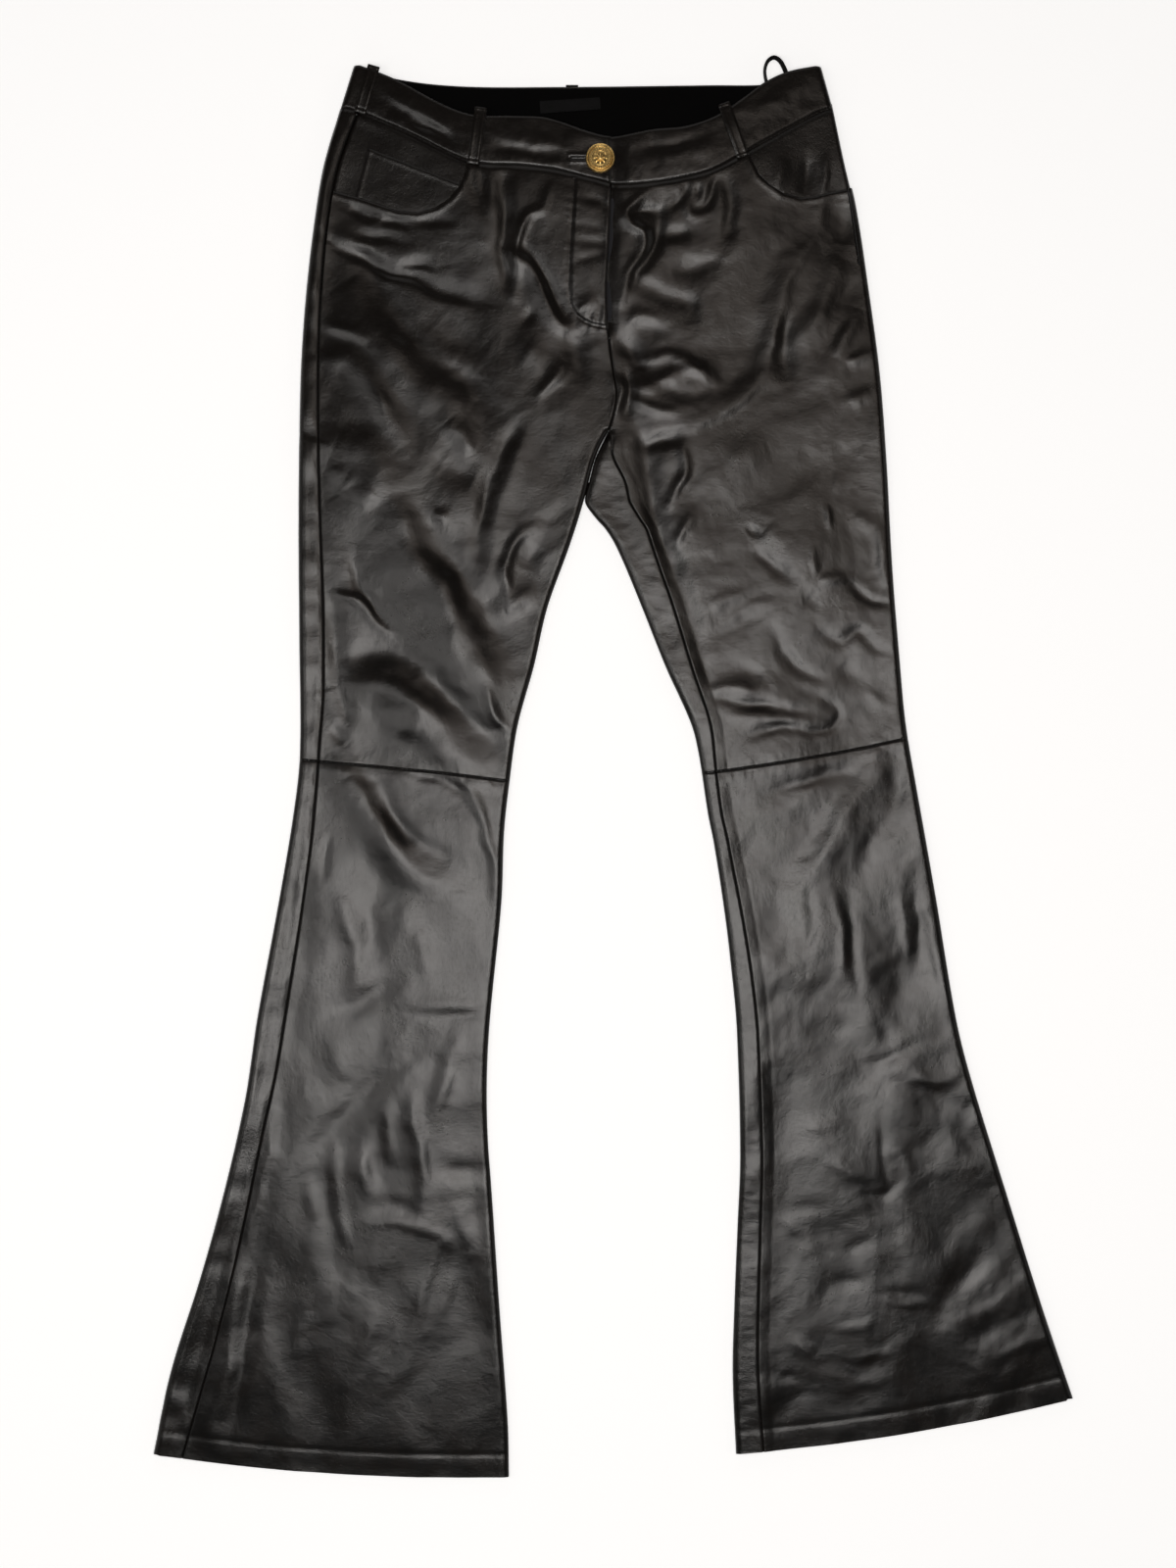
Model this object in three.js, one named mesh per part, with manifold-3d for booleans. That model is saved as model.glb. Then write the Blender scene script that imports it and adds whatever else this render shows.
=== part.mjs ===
// Leather trousers, laid flat with the front up.
// Millimetres, +Z up. The floor is z = 0, +Y points to the waist, and +X is the wearer's left.
// Each leg and the waistband is a flattened tube, and every panel is an arc of its tube's rings.

import * as THREE from "three";
import Module from "manifold-3d";
import { mergeVertices } from "three/addons/utils/BufferGeometryUtils.js";

// Driving dimensions
const LEATHER = 1.2; // wall of every leather panel
const FACING = 1.0; // wall of the pocket facings, coin pocket and woven band facing
const BAND_WALL = 2.0; // doubled leather of the waistband
const BAND_LIFT = 1.5; // the belt loops behind hold the back band this far off the floor
const SEAM_GAP = 0.3; // between pieces that are sewn edge to edge
const BAND_GAP = 0.4; // between a panel's top edge and the waistband
const ROLL = 5; // sideways radius of a leg's rolled edge
const ROLL_ARC = 14; // length round a rolled edge, from its top to its underside
const UNDER_INSEAM = 12; // the right inseam lies this far in from the edge, underneath
const UNDER_OUTSEAM = 10; // the left outseam lies this far in from the edge, underneath
const CENTRE_BACK = -3.2; // x of the centre back seam
const CROTCH_Y = 262; // where the four leg seams meet
const CROTCH_RUN = 19; // length below the crotch over which the inner seam rolls into place
const HEM_DEPTH = 17; // turned-up hem
const HEM_RAISE = 0.5; // extra height of the doubled hem
const BASE_HEIGHT = 5.6; // top surface of the legs above the floor
const HIP_HEIGHT = 7.2; // top surface at the crotch level
const SIDE_BAND_HEIGHT = 9.6; // top of the waistband at its two rolled sides
const MIDDLE_BAND_HEIGHT = 12.8; // top of the waistband in front
const EDGE_PUFF = 2.2; // how far a rolled edge stands above the panel beside it
const EDGE_PUFF_REACH = 11;
const BUTTON_RADIUS = 11.4;
const BUTTON_CENTRE = { x: -10.1, y: 470.6 };
const SHANK_RADIUS = 2.3;
const EYELET_RADIUS = 2.8; // round end of the buttonhole
const BUTTONHOLE = { length: 23, slit: 1.6 };
const LOOP_WIDTH = 9.5;
const LOOP_WALL = 1.2;
const OVERLAP = 38; // how far the left band passes under the right one
const CENTRE_FRONT_SHARE = 0.5497; // centre front, as a share of the waistband's width

// Rolled side edges: x at each distance up the leg
const RIGHT_OUTER = [
  { y: 512, x: -211.6 }, { y: 466, x: -224.8 }, { y: 420, x: -232.4 }, { y: 375, x: -237.7 },
  { y: 329, x: -241.5 }, { y: 283, x: -243.2 }, { y: 192, x: -244.4 }, { y: 101, x: -243.8 },
  { y: 10, x: -243.4 }, { y: -36, x: -248.3 }, { y: -104, x: -259.7 }, { y: -195, x: -276.4 },
  { y: -258, x: -285.9 }, { y: -332, x: -302.8 }, { y: -396, x: -320.6 }, { y: -469, x: -343.6 },
  { y: -533, x: -357 },
];
const LEFT_OUTER = [
  { y: 512, x: 171.7 }, { y: 470, x: 180.4 }, { y: 432, x: 189.1 }, { y: 375, x: 197.8 },
  { y: 306, x: 206.9 }, { y: 238, x: 212.2 }, { y: 154, x: 216.8 }, { y: 78, x: 222.9 },
  { y: 32, x: 227.4 }, { y: -13, x: 235 }, { y: -104, x: 251 }, { y: -195, x: 266.2 },
  { y: -241, x: 277.6 }, { y: -332, x: 305.7 }, { y: -424, x: 334.6 }, { y: -490, x: 357 },
];
const CENTRE_FRONT = [
  { y: 452, x: -1.3 }, { y: 412, x: -2.9 }, { y: 371, x: -4.9 }, { y: 342, x: -3.9 },
  { y: 324, x: -2.4 }, { y: 304, x: 0.4 }, { y: 290, x: 2.4 }, { y: 277, x: 0.8 },
  { y: 262, x: -3.2 },
];
const RIGHT_INNER = [
  { y: 262, x: -3.2 }, { y: 241, x: -13.5 }, { y: 213, x: -21.1 }, { y: 192, x: -27.2 },
  { y: 169, x: -34.8 }, { y: 124, x: -51 }, { y: 78, x: -61.6 }, { y: 32, x: -74.2 },
  { y: -11, x: -80.4 }, { y: -50, x: -84.6 }, { y: -104, x: -86.7 }, { y: -195, x: -95.6 },
  { y: -241, x: -98 }, { y: -287, x: -97.4 }, { y: -332, x: -94.2 }, { y: -424, x: -88 },
  { y: -507, x: -81.9 }, { y: -551, x: -80.9 },
];
const LEFT_INNER = [
  { y: 262, x: -2.2 }, { y: 241, x: -11.6 }, { y: 222, x: -17.2 }, { y: 209, x: -19.6 },
  { y: 202, x: -18 }, { y: 193, x: -12.6 }, { y: 184, x: -5.6 }, { y: 169, x: 3.2 },
  { y: 124, x: 22.2 }, { y: 78, x: 40.5 }, { y: 34, x: 60.2 }, { y: 10, x: 66.3 },
  { y: -36, x: 73.4 }, { y: -60, x: 78.2 }, { y: -114, x: 86.5 }, { y: -159, x: 91.8 },
  { y: -204, x: 95.8 }, { y: -300, x: 98.4 }, { y: -358, x: 96.4 }, { y: -417, x: 93.9 },
  { y: -471, x: 92.6 }, { y: -533, x: 95.2 },
];

// Seams that show on the top face: their distance from the rolled edge beside them
const RIGHT_OUTSEAM = [
  { y: 512, inset: 14.6 }, { y: 455, inset: 11 }, { y: 400, inset: 11 }, { y: 318, inset: 13.5 },
  { y: 230, inset: 16 }, { y: 128, inset: 19 }, { y: 60, inset: 18.4 }, { y: 6, inset: 15 },
  { y: -68, inset: 18 }, { y: -200, inset: 21.8 }, { y: -286, inset: 19.6 },
  { y: -400, inset: 25 }, { y: -465, inset: 28.6 }, { y: -539, inset: 23 },
];
const LEFT_INSEAM = [
  { y: 262, inset: 0 }, { y: 256, inset: 5.5 }, { y: 243, inset: 12 }, { y: 220, inset: 29 },
  { y: 205, inset: 35 }, { y: 193, inset: 34 }, { y: 169, inset: 28 }, { y: 130, inset: 25 },
  { y: 84, inset: 21 }, { y: 49, inset: 17 }, { y: 0, inset: 11.4 }, { y: -60, inset: 11.2 },
  { y: -168, inset: 15.4 }, { y: -300, inset: 17 }, { y: -461, inset: 19.5 },
  { y: -533, inset: 21.4 },
];

// Waistband edges, from the right side to the left
const FRONT_BAND_BOTTOM = [
  { x: -212, y: 512 }, { x: -196.7, y: 507.8 }, { x: -159.6, y: 492 }, { x: -116, y: 470.6 },
  { x: -100, y: 466.8 }, { x: -73, y: 465.8 }, { x: -45.6, y: 462.6 }, { x: -15.8, y: 455.4 },
  { x: 2.5, y: 451 }, { x: 25, y: 452 }, { x: 52, y: 456 }, { x: 79, y: 463.4 },
  { x: 116, y: 484 }, { x: 159, y: 507.6 }, { x: 172, y: 512 },
];
const FRONT_BAND_TOP = [
  { x: -201.2, y: 545.5 }, { x: -170, y: 533.2 }, { x: -130.5, y: 512 }, { x: -108.5, y: 504.6 },
  { x: -73, y: 503.6 }, { x: -50.7, y: 502 }, { x: -15.8, y: 490.6 }, { x: 0, y: 488 },
  { x: 31.7, y: 493.4 }, { x: 57, y: 496 }, { x: 81, y: 504.6 }, { x: 102, y: 518.9 },
  { x: 117, y: 530 }, { x: 135, y: 538.5 }, { x: 161.3, y: 544 },
];
const BACK_BAND_TOP = [
  { x: -201.2, y: 545.5 }, { x: -170, y: 534.6 }, { x: -120, y: 528.6 }, { x: -44, y: 528 },
  { x: 77, y: 529.4 }, { x: 116.5, y: 529.8 }, { x: 140, y: 534 }, { x: 161.3, y: 544 },
];
const BACK_BAND_BOTTOM = [
  { x: -212, y: 512 }, { x: -196, y: 506 }, { x: -150, y: 494 }, { x: -90, y: 488 },
  { x: -20, y: 486.5 }, { x: 60, y: 488 }, { x: 120, y: 496 }, { x: 158, y: 507 },
  { x: 172, y: 512 },
];

// x of the waistband's rolled sides at its lower and upper edge
const BAND_SIDES = { low: { right: -211.6, left: 170.4 }, high: { right: -201.2, left: 161.3 } };

// Knee and hem lines: y at the outer and the inner edge, and how far the middle bows
const RIGHT_LINES = {
  knee: { outer: 5.9, inner: -10.8, bow: 1 },
  hem: { outer: -533, inner: -551, bow: -6 },
};
const LEFT_LINES = {
  knee: { outer: 22.6, inner: -4.8, bow: -2 },
  hem: { outer: -490, inner: -533, bow: -5 },
};

// Pocket mouths: the scooped edge of each front, from the waistband to the side
const RIGHT_SCOOP = [
  { x: -113, y: 475 }, { x: -114.6, y: 458 }, { x: -119.5, y: 449 }, { x: -127, y: 440 },
  { x: -138, y: 433 }, { x: -151, y: 429.4 }, { x: -167, y: 430.7 }, { x: -183, y: 436.6 },
  { x: -200, y: 442.1 }, { x: -232, y: 451 },
];
const LEFT_SCOOP = [
  { x: 103.6, y: 480 }, { x: 107, y: 470.2 }, { x: 112.3, y: 459.6 }, { x: 121, y: 451.2 },
  { x: 131.7, y: 444.6 }, { x: 144, y: 441.4 }, { x: 156, y: 442.4 }, { x: 168, y: 445.4 },
  { x: 186, y: 448.4 }, { x: 215, y: 448.6 },
];
const COIN_POCKET = {
  topOuter: { x: -190.2, y: 480 }, topInner: { x: -106, y: 446.5 },
  bottomOuter: { x: -205, y: 424 }, bottomInner: { x: -112, y: 414 },
};

// Folds of the top face. Each runs from one point to another, bowed sideways by its sagitta.
// Height above the cloth is negative for a trough.
const FOLDS = [
  { x1: -212, y1: 408, x2: -168, y2: 392, bow: 4, width: 9, height: 2.6 },
  { x1: -213, y1: 404, x2: -172, y2: 380, bow: 3, width: 8, height: -1.6 },
  { x1: -160, y1: 395, x2: -105, y2: 366, bow: 5, width: 10, height: 2.2 },
  { x1: -204, y1: 388, x2: -112, y2: 280, bow: -12, width: 17, height: -2.6 },
  { x1: -201, y1: 318, x2: -160, y2: 249, bow: -8, width: 13, height: 3.6 },
  { x1: -143, y1: 273, x2: -105, y2: 244, bow: 3, width: 13, height: 2.4 },
  { x1: -207, y1: 257, x2: -98, y2: 104, bow: -14, width: 12, height: -3 },
  { x1: -190, y1: 172, x2: -86, y2: 20, bow: 12, width: 15, height: 4.2 },
  { x1: -204, y1: 151, x2: -178, y2: 110, bow: -4, width: 8, height: -2 },
  { x1: -204, y1: 76, x2: -80, y2: -2, bow: -8, width: 11, height: -2.8 },
  { x1: -204, y1: 60, x2: -124, y2: 8, bow: -8, width: 9, height: 2.6 },
  { x1: -215, y1: 118, x2: -215, y2: 44, bow: 2, width: 8, height: -1.6 },
  { x1: -71, y1: 257, x2: -99, y2: 162, bow: -6, width: 11, height: 3 },
  { x1: -60, y1: 184, x2: -84, y2: 134, bow: -4, width: 9, height: 2.2 },
  { x1: -87, y1: 461, x2: -82, y2: 382, bow: 2, width: 7, height: -3.2 },
  { x1: -74, y1: 420, x2: -79, y2: 364, bow: 0, width: 6, height: 2 },
  { x1: -55, y1: 438, x2: -74, y2: 406, bow: 5, width: 7, height: 3 },
  { x1: -72, y1: 402, x2: -35, y2: 358, bow: -3, width: 6, height: -3.4 },
  { x1: -46, y1: 306, x2: -40, y2: 282, bow: 3, width: 8, height: 2 },
  { x1: 43, y1: 451, x2: 22, y2: 421, bow: -6, width: 7, height: 3.4 },
  { x1: 22, y1: 421, x2: 3, y2: 361, bow: 6, width: 8, height: 3.6 },
  { x1: 37, y1: 436, x2: 9, y2: 366, bow: 8, width: 7, height: -3.4 },
  { x1: 53, y1: 442, x2: 45, y2: 428, bow: 1, width: 6, height: -1.8 },
  { x1: 54, y1: 396, x2: 48, y2: 376, bow: 1, width: 13, height: 2 },
  { x1: 37, y1: 366, x2: 12, y2: 320, bow: 4, width: 9, height: -2.4 },
  { x1: 154, y1: 402, x2: 122, y2: 333, bow: 4, width: 8, height: 2.8 },
  { x1: 122, y1: 333, x2: 68, y2: 272, bow: -8, width: 8, height: 2.8 },
  { x1: 179, y1: 386, x2: 154, y2: 342, bow: 3, width: 10, height: -1.6 },
  { x1: 50, y1: 270, x2: 50, y2: 213, bow: -6, width: 10, height: 2.6 },
  { x1: 36, y1: 250, x2: 32, y2: 224, bow: 2, width: 11, height: -1.6 },
  { x1: 75, y1: 65, x2: 167, y2: 48, bow: -9, width: 11, height: -2.8 },
  { x1: 98, y1: 40, x2: 154, y2: 34, bow: -2, width: 9, height: 2.4 },
  { x1: 170, y1: 190, x2: 120, y2: 120, bow: 8, width: 14, height: 1.8 },
  { x1: 100, y1: 180, x2: 70, y2: 120, bow: 5, width: 12, height: 1.6 },
  { x1: -200, y1: -9, x2: -123, y2: -88, bow: 8, width: 11, height: -3.6 },
  { x1: -188, y1: -3, x2: -130, y2: -48, bow: 8, width: 9, height: 2.4 },
  { x1: -100, y1: -33, x2: -88, y2: -83, bow: 4, width: 8, height: 2.2 },
  { x1: -169, y1: -160, x2: -246, y2: -199, bow: 3, width: 13, height: -2.2 },
  { x1: -146, y1: -189, x2: -100, y2: -189, bow: 2, width: 8, height: -1.8 },
  { x1: -146, y1: -283, x2: -146, y2: -333, bow: 2, width: 11, height: 2 },
  { x1: -196, y1: -352, x2: -138, y2: -362, bow: 2, width: 9, height: -1.6 },
  { x1: -285, y1: -398, x2: -304, y2: -502, bow: 3, width: 9, height: -2 },
  { x1: 129, y1: -14, x2: 164, y2: -14, bow: -3, width: 10, height: -2.4 },
  { x1: 211, y1: -6, x2: 153, y2: -137, bow: 12, width: 12, height: -3.8 },
  { x1: 176, y1: -98, x2: 180, y2: -167, bow: 2, width: 8, height: 2.4 },
  { x1: 190, y1: -95, x2: 192, y2: -170, bow: -2, width: 8, height: -2 },
  { x1: 222, y1: -113, x2: 230, y2: -145, bow: 1, width: 10, height: 2 },
  { x1: 126, y1: -179, x2: 191, y2: -198, bow: 3, width: 13, height: -2.2 },
  { x1: 150, y1: -240, x2: 215, y2: -275, bow: 4, width: 12, height: 1.8 },
  { x1: 170, y1: -330, x2: 240, y2: -360, bow: -5, width: 13, height: -1.8 },
  { x1: 145, y1: -400, x2: 205, y2: -440, bow: 5, width: 12, height: 1.6 },
];

// Finishes
const black = { color: 0x17130f, roughness: 0.42, metalness: 0 };
const finishes = {
  leather: new THREE.MeshStandardMaterial(black),
  innerLeather: new THREE.MeshStandardMaterial({ ...black, color: 0x1c1814, roughness: 0.5 }),
  woven: new THREE.MeshStandardMaterial({ color: 0x0a0a0b, roughness: 0.95, metalness: 0 }),
  satin: new THREE.MeshStandardMaterial({ color: 0x0c0c0e, roughness: 0.45, metalness: 0 }),
  tape: new THREE.MeshStandardMaterial({ color: 0x121214, roughness: 0.85, metalness: 0 }),
  gold: new THREE.MeshStandardMaterial({ color: 0xc89a4b, roughness: 0.28, metalness: 1 }),
};

const { lerp, clamp, smoothstep } = THREE.MathUtils;

// A smooth curve through a table's rows, read by one column and giving another.
function tableCurve(rows, from, to) {
  const sorted = [...rows].sort((a, b) => a[from] - b[from]);
  const slope = (i) => {
    const low = sorted[Math.max(i - 1, 0)];
    const high = sorted[Math.min(i + 1, sorted.length - 1)];
    return (high[to] - low[to]) / (high[from] - low[from]);
  };
  return (value) => {
    const last = sorted.length - 1;
    let i = 0;
    while (i < last - 1 && value > sorted[i + 1][from]) i += 1;
    const a = sorted[i];
    const b = sorted[i + 1];
    const run = b[from] - a[from];
    const t = (value - a[from]) / run;
    if (t < 0) return a[to] + slope(0) * (value - a[from]);
    if (t > 1) return b[to] + slope(last) * (value - b[from]);
    const rise = t * t * (3 - 2 * t);
    const leave = t * (1 - t) * (1 - t) * run * slope(i);
    const arrive = t * t * (t - 1) * run * slope(i + 1);
    return lerp(a[to], b[to], rise) + leave + arrive;
  };
}

const bandBottom = tableCurve(FRONT_BAND_BOTTOM, "x", "y");
const bandTop = tableCurve(FRONT_BAND_TOP, "x", "y");
const backBandBottom = tableCurve(BACK_BAND_BOTTOM, "x", "y");
const backBandTop = tableCurve(BACK_BAND_TOP, "x", "y");

// Height of one fold at a point: a soft ridge that fades out past both of its ends.
function foldHeight(fold, x, y) {
  const dx = fold.x2 - fold.x1;
  const dy = fold.y2 - fold.y1;
  const length = Math.hypot(dx, dy);
  const along = ((x - fold.x1) * dx + (y - fold.y1) * dy) / (length * length);
  const across = ((y - fold.y1) * dx - (x - fold.x1) * dy) / length;
  const inside = clamp(along, 0, 1);
  const off = across - 4 * fold.bow * inside * (1 - inside);
  const past = (along - inside) * length;
  const taper = 0.55 + 0.45 * Math.sin(Math.PI * inside);
  return fold.height * taper * Math.exp(-((off / fold.width) ** 2) - (past / (1.3 * fold.width)) ** 2);
}

// Top of the waistband, which stands higher in front than at its rolled sides.
function bandHeight(x) {
  const middle = smoothstep(x, -205, -95) * (1 - smoothstep(x, 75, 168));
  return lerp(SIDE_BAND_HEIGHT, MIDDLE_BAND_HEIGHT, middle);
}

// Top face of a leg at a point, with its folds and the puffed rolled edges.
function legHeight(leg, x, y) {
  const belowBand = bandBottom(x) - y;
  const hip = lerp(HIP_HEIGHT, bandHeight(x), 1 - smoothstep(belowBand, 0, 150));
  const base = lerp(BASE_HEIGHT, hip, smoothstep(y, 60, CROTCH_Y + 20));
  const room = lerp(0.3, 1, smoothstep(belowBand, 0, 14));
  const folds = FOLDS.reduce((sum, fold) => sum + foldHeight(fold, x, y), 0);
  const puff = (reach) => EDGE_PUFF * Math.exp(-((reach / EDGE_PUFF_REACH) ** 2));
  const outer = puff(Math.abs(x - leg.outer(y))) * smoothstep(belowBand, 0, 60);
  const inner = puff(Math.abs(x - leg.innerTop(y))) * (1 - smoothstep(y, CROTCH_Y - 30, CROTCH_Y));
  return Math.max(base + room * folds + outer + inner, 4.4);
}

// One point of a flattened tube's ring, at a distance round it and a depth below its surface.
// The distance starts at the outer edge and runs over the top, round the inner edge and back under.
function ringPoint(tube, v, distance, depth) {
  const width = tube.width(v);
  const lap = 2 * (width - 2 * ROLL) + 2 * ROLL_ARC;
  const inward = (point, offset) => ({ x: point.x, y: point.y, z: point.z - offset });
  const round = (share, reach, direction) => {
    const top = tube.top(v, reach);
    const under = tube.under(v, reach);
    const angle = Math.PI * share;
    const middle = (top.z + under.z) / 2;
    const half = (top.z - under.z) / 2 - depth;
    const sink = (1 - Math.cos(angle)) / 2;
    return {
      x: lerp(top.x, under.x, sink) + direction * (ROLL - depth) * Math.sin(angle),
      y: lerp(top.y, under.y, sink),
      z: middle + half * Math.cos(angle),
    };
  };
  const topEnd = tube.closed(v) ? width - ROLL : width;
  if (distance >= ROLL && distance <= topEnd) return inward(tube.top(v, distance), depth);
  if (distance < ROLL - ROLL_ARC) return inward(tube.under(v, 2 * ROLL - ROLL_ARC - distance), -depth);
  if (distance < ROLL) return round((ROLL - distance) / ROLL_ARC, ROLL, -tube.side);
  if (tube.closed(v) && distance < topEnd + ROLL_ARC) {
    return round((distance - topEnd) / ROLL_ARC, width - ROLL, tube.side);
  }
  const fromInner = distance - (width - ROLL + ROLL_ARC) + ROLL;
  if (width - fromInner >= ROLL) return inward(tube.under(v, width - fromInner), -depth);
  return ringPoint(tube, v, distance - lap, depth);
}

// Landmarks of a ring, as distances round it.
const ring = {
  lap: (tube, v) => 2 * (tube.width(v) - 2 * ROLL) + 2 * ROLL_ARC,
  underFromOuter: (reach) => 2 * ROLL - ROLL_ARC - reach,
  innerTop: (tube, v) => tube.width(v) - ROLL,
  innerUnder: (tube, v) => tube.width(v) - ROLL + ROLL_ARC,
  underFromInner: (tube, v, reach) => tube.width(v) - 2 * ROLL + ROLL_ARC + reach,
};

// A leg's tube. Station 0 is the waist seam, 1 the crotch, 2 the knee seam and 3 the hem.
function makeLeg({ side, outer, inner, lines, outseam, inseam }) {
  const outerCurve = tableCurve(outer, "y", "x");
  const frontCurve = tableCurve(CENTRE_FRONT, "y", "x");
  const innerCurve = tableCurve(inner, "y", "x");
  const leg = {
    side,
    outer: outerCurve,
    innerTop: (y) => (y > CROTCH_Y ? frontCurve(y) : innerCurve(y)),
    innerUnder: (y) => (y > CROTCH_Y ? CENTRE_BACK : innerCurve(y)),
    outseam,
    inseam,
  };
  const line = (at, share) => lerp(at.outer, at.inner, share) + 4 * at.bow * share * (1 - share);
  const waistY = (innerEdge, seamLine, share) => {
    let y = seamLine(lerp(outerCurve(512), innerEdge(460), share));
    for (let i = 0; i < 8; i += 1) y = seamLine(lerp(outerCurve(y), innerEdge(y), share));
    return y - BAND_GAP;
  };
  const rowY = (innerEdge, seamLine, v, share) => {
    if (v <= 1) return lerp(waistY(innerEdge, seamLine, share), CROTCH_Y, v);
    if (v <= 2) return lerp(CROTCH_Y, line(lines.knee, share), v - 1);
    return lerp(line(lines.knee, share), line(lines.hem, share), v - 2);
  };
  const across = (innerEdge, seamLine, v, reach) => {
    const share = reach / leg.width(v);
    const y = rowY(innerEdge, seamLine, v, share);
    return { x: lerp(outerCurve(y), innerEdge(y), share), y };
  };
  const widths = new Map();
  leg.width = (v) => {
    if (!widths.has(v)) {
      const outerX = outerCurve(rowY(leg.innerTop, bandBottom, v, 0));
      widths.set(v, Math.abs(leg.innerTop(rowY(leg.innerTop, bandBottom, v, 1)) - outerX));
    }
    return widths.get(v);
  };
  leg.closed = (v) => v > 1;
  leg.edgeY = (v, share) => rowY(leg.innerTop, bandBottom, v, share);
  leg.top = (v, reach) => {
    const { x, y } = across(leg.innerTop, bandBottom, v, reach);
    const hem = v > 2 ? HEM_RAISE * smoothstep(v, leg.hemStation - 0.006, leg.hemStation + 0.004) : 0;
    return { x, y, z: legHeight(leg, x, y) + hem };
  };
  leg.under = (v, reach) => ({ ...across(leg.innerUnder, backBandBottom, v, reach), z: 0 });
  leg.hemStation = 3 - HEM_DEPTH / (lines.knee.inner - lines.hem.inner);
  leg.stationAt = (y) => 1 + (CROTCH_Y - y) / (CROTCH_Y - lines.knee.inner);
  leg.kneeGap = SEAM_GAP / 2 / (CROTCH_Y - lines.knee.inner);
  // How far the inner seam has rolled into place below the crotch
  leg.turned = (v) => smoothstep(CROTCH_Y - rowY(leg.innerTop, bandBottom, v, 1), 0, CROTCH_RUN);
  return leg;
}

const rightLeg = makeLeg({
  side: 1,
  outer: RIGHT_OUTER,
  inner: RIGHT_INNER,
  lines: RIGHT_LINES,
  outseam: tableCurve(RIGHT_OUTSEAM, "y", "inset"),
});
const leftLeg = makeLeg({
  side: -1,
  outer: LEFT_OUTER,
  inner: LEFT_INNER,
  lines: LEFT_LINES,
  inseam: tableCurve(LEFT_INSEAM, "y", "inset"),
});

// The waistband's tube. Station 0 is its lower edge and 1 its upper edge.
const band = {
  side: 1,
  closed: () => true,
  width: (w) => {
    const { low, high } = BAND_SIDES;
    return lerp(low.left - low.right, high.left - high.right, w);
  },
  at: (lower, upper, w, reach) => {
    const share = reach / band.width(w);
    const low = lerp(BAND_SIDES.low.right, BAND_SIDES.low.left, share);
    const high = lerp(BAND_SIDES.high.right, BAND_SIDES.high.left, share);
    return { x: lerp(low, high, w), y: lerp(lower(low), upper(high), w) };
  },
  top: (w, reach) => {
    const point = band.at(bandBottom, bandTop, w, reach);
    return { ...point, z: bandHeight(point.x) };
  },
  under: (w, reach) => ({ ...band.at(backBandBottom, backBandTop, w, reach), z: BAND_LIFT }),
};

// A closed wall from a grid of outer points and the matching grid of inner points.
function wallGeometry(outer, inner) {
  const rows = outer.length;
  const columns = outer[0].length;
  const positions = [...outer, ...inner].flat().flatMap((point) => [point.x, point.y, point.z]);
  const index = [];
  const at = (layer, row, column) => (layer * rows + row) * columns + column;
  const quad = (a, b, c, d) => index.push(a, b, c, a, c, d);
  for (let r = 0; r < rows - 1; r += 1) {
    for (let c = 0; c < columns - 1; c += 1) {
      quad(at(0, r, c), at(0, r + 1, c), at(0, r + 1, c + 1), at(0, r, c + 1));
      quad(at(1, r, c), at(1, r, c + 1), at(1, r + 1, c + 1), at(1, r + 1, c));
    }
    quad(at(0, r, 0), at(1, r, 0), at(1, r + 1, 0), at(0, r + 1, 0));
    const end = columns - 1;
    quad(at(0, r, end), at(0, r + 1, end), at(1, r + 1, end), at(1, r, end));
  }
  for (let c = 0; c < columns - 1; c += 1) {
    quad(at(0, 0, c), at(0, 0, c + 1), at(1, 0, c + 1), at(1, 0, c));
    const end = rows - 1;
    quad(at(0, end, c), at(1, end, c), at(1, end, c + 1), at(0, end, c + 1));
  }
  const geometry = new THREE.BufferGeometry();
  geometry.setAttribute("position", new THREE.Float32BufferAttribute(positions, 3));
  geometry.setIndex(index);
  return orient(geometry);
}

// Turns every face round if the solid's volume comes out negative.
function orient(geometry) {
  const points = geometry.getAttribute("position");
  const index = geometry.getIndex();
  const corner = (i) => new THREE.Vector3().fromBufferAttribute(points, index.getX(i));
  let volume = 0;
  for (let i = 0; i < index.count; i += 3) {
    volume += corner(i).dot(corner(i + 1).cross(corner(i + 2)));
  }
  if (volume < 0) {
    for (let i = 0; i < index.count; i += 3) {
      const second = index.getX(i + 1);
      index.setX(i + 1, index.getX(i + 2));
      index.setX(i + 2, second);
    }
  }
  return geometry;
}

// Distances at even steps through a chain of stretches, each with its own number of cells.
function columnsThrough(stops, cells) {
  const columns = [stops[0]];
  cells.forEach((count, i) => {
    for (let k = 1; k <= count; k += 1) columns.push(lerp(stops[i], stops[i + 1], k / count));
  });
  return columns;
}

// A wall of a tube: one row of columns at each station, between two depths.
function tubeWall(tube, stations, columnsAt, outerDepth, innerDepth) {
  const layer = (depthOf) => stations.map((v) => columnsAt(v).map(
    (distance) => ringPoint(tube, v, distance, depthOf(v, distance)),
  ));
  const asFunction = (depth) => (typeof depth === "function" ? depth : () => depth);
  return wallGeometry(layer(asFunction(outerDepth)), layer(asFunction(innerDepth)));
}

// A wall under a leg's top face, over a four-sided area given by its corners.
function topPatch(leg, corners, cells, outerDepth, innerDepth) {
  const layer = (depth) => Array.from({ length: cells.down + 1 }, (_, r) => (
    Array.from({ length: cells.across + 1 }, (__, c) => {
      const down = r / cells.down;
      const over = c / cells.across;
      const mix = (key) => lerp(
        lerp(corners.topOuter[key], corners.topInner[key], over),
        lerp(corners.bottomOuter[key], corners.bottomInner[key], over),
        down,
      );
      const x = mix("x");
      const y = mix("y");
      return { x, y, z: legHeight(leg, x, y) - depth };
    })
  ));
  return wallGeometry(layer(outerDepth), layer(innerDepth));
}

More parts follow.
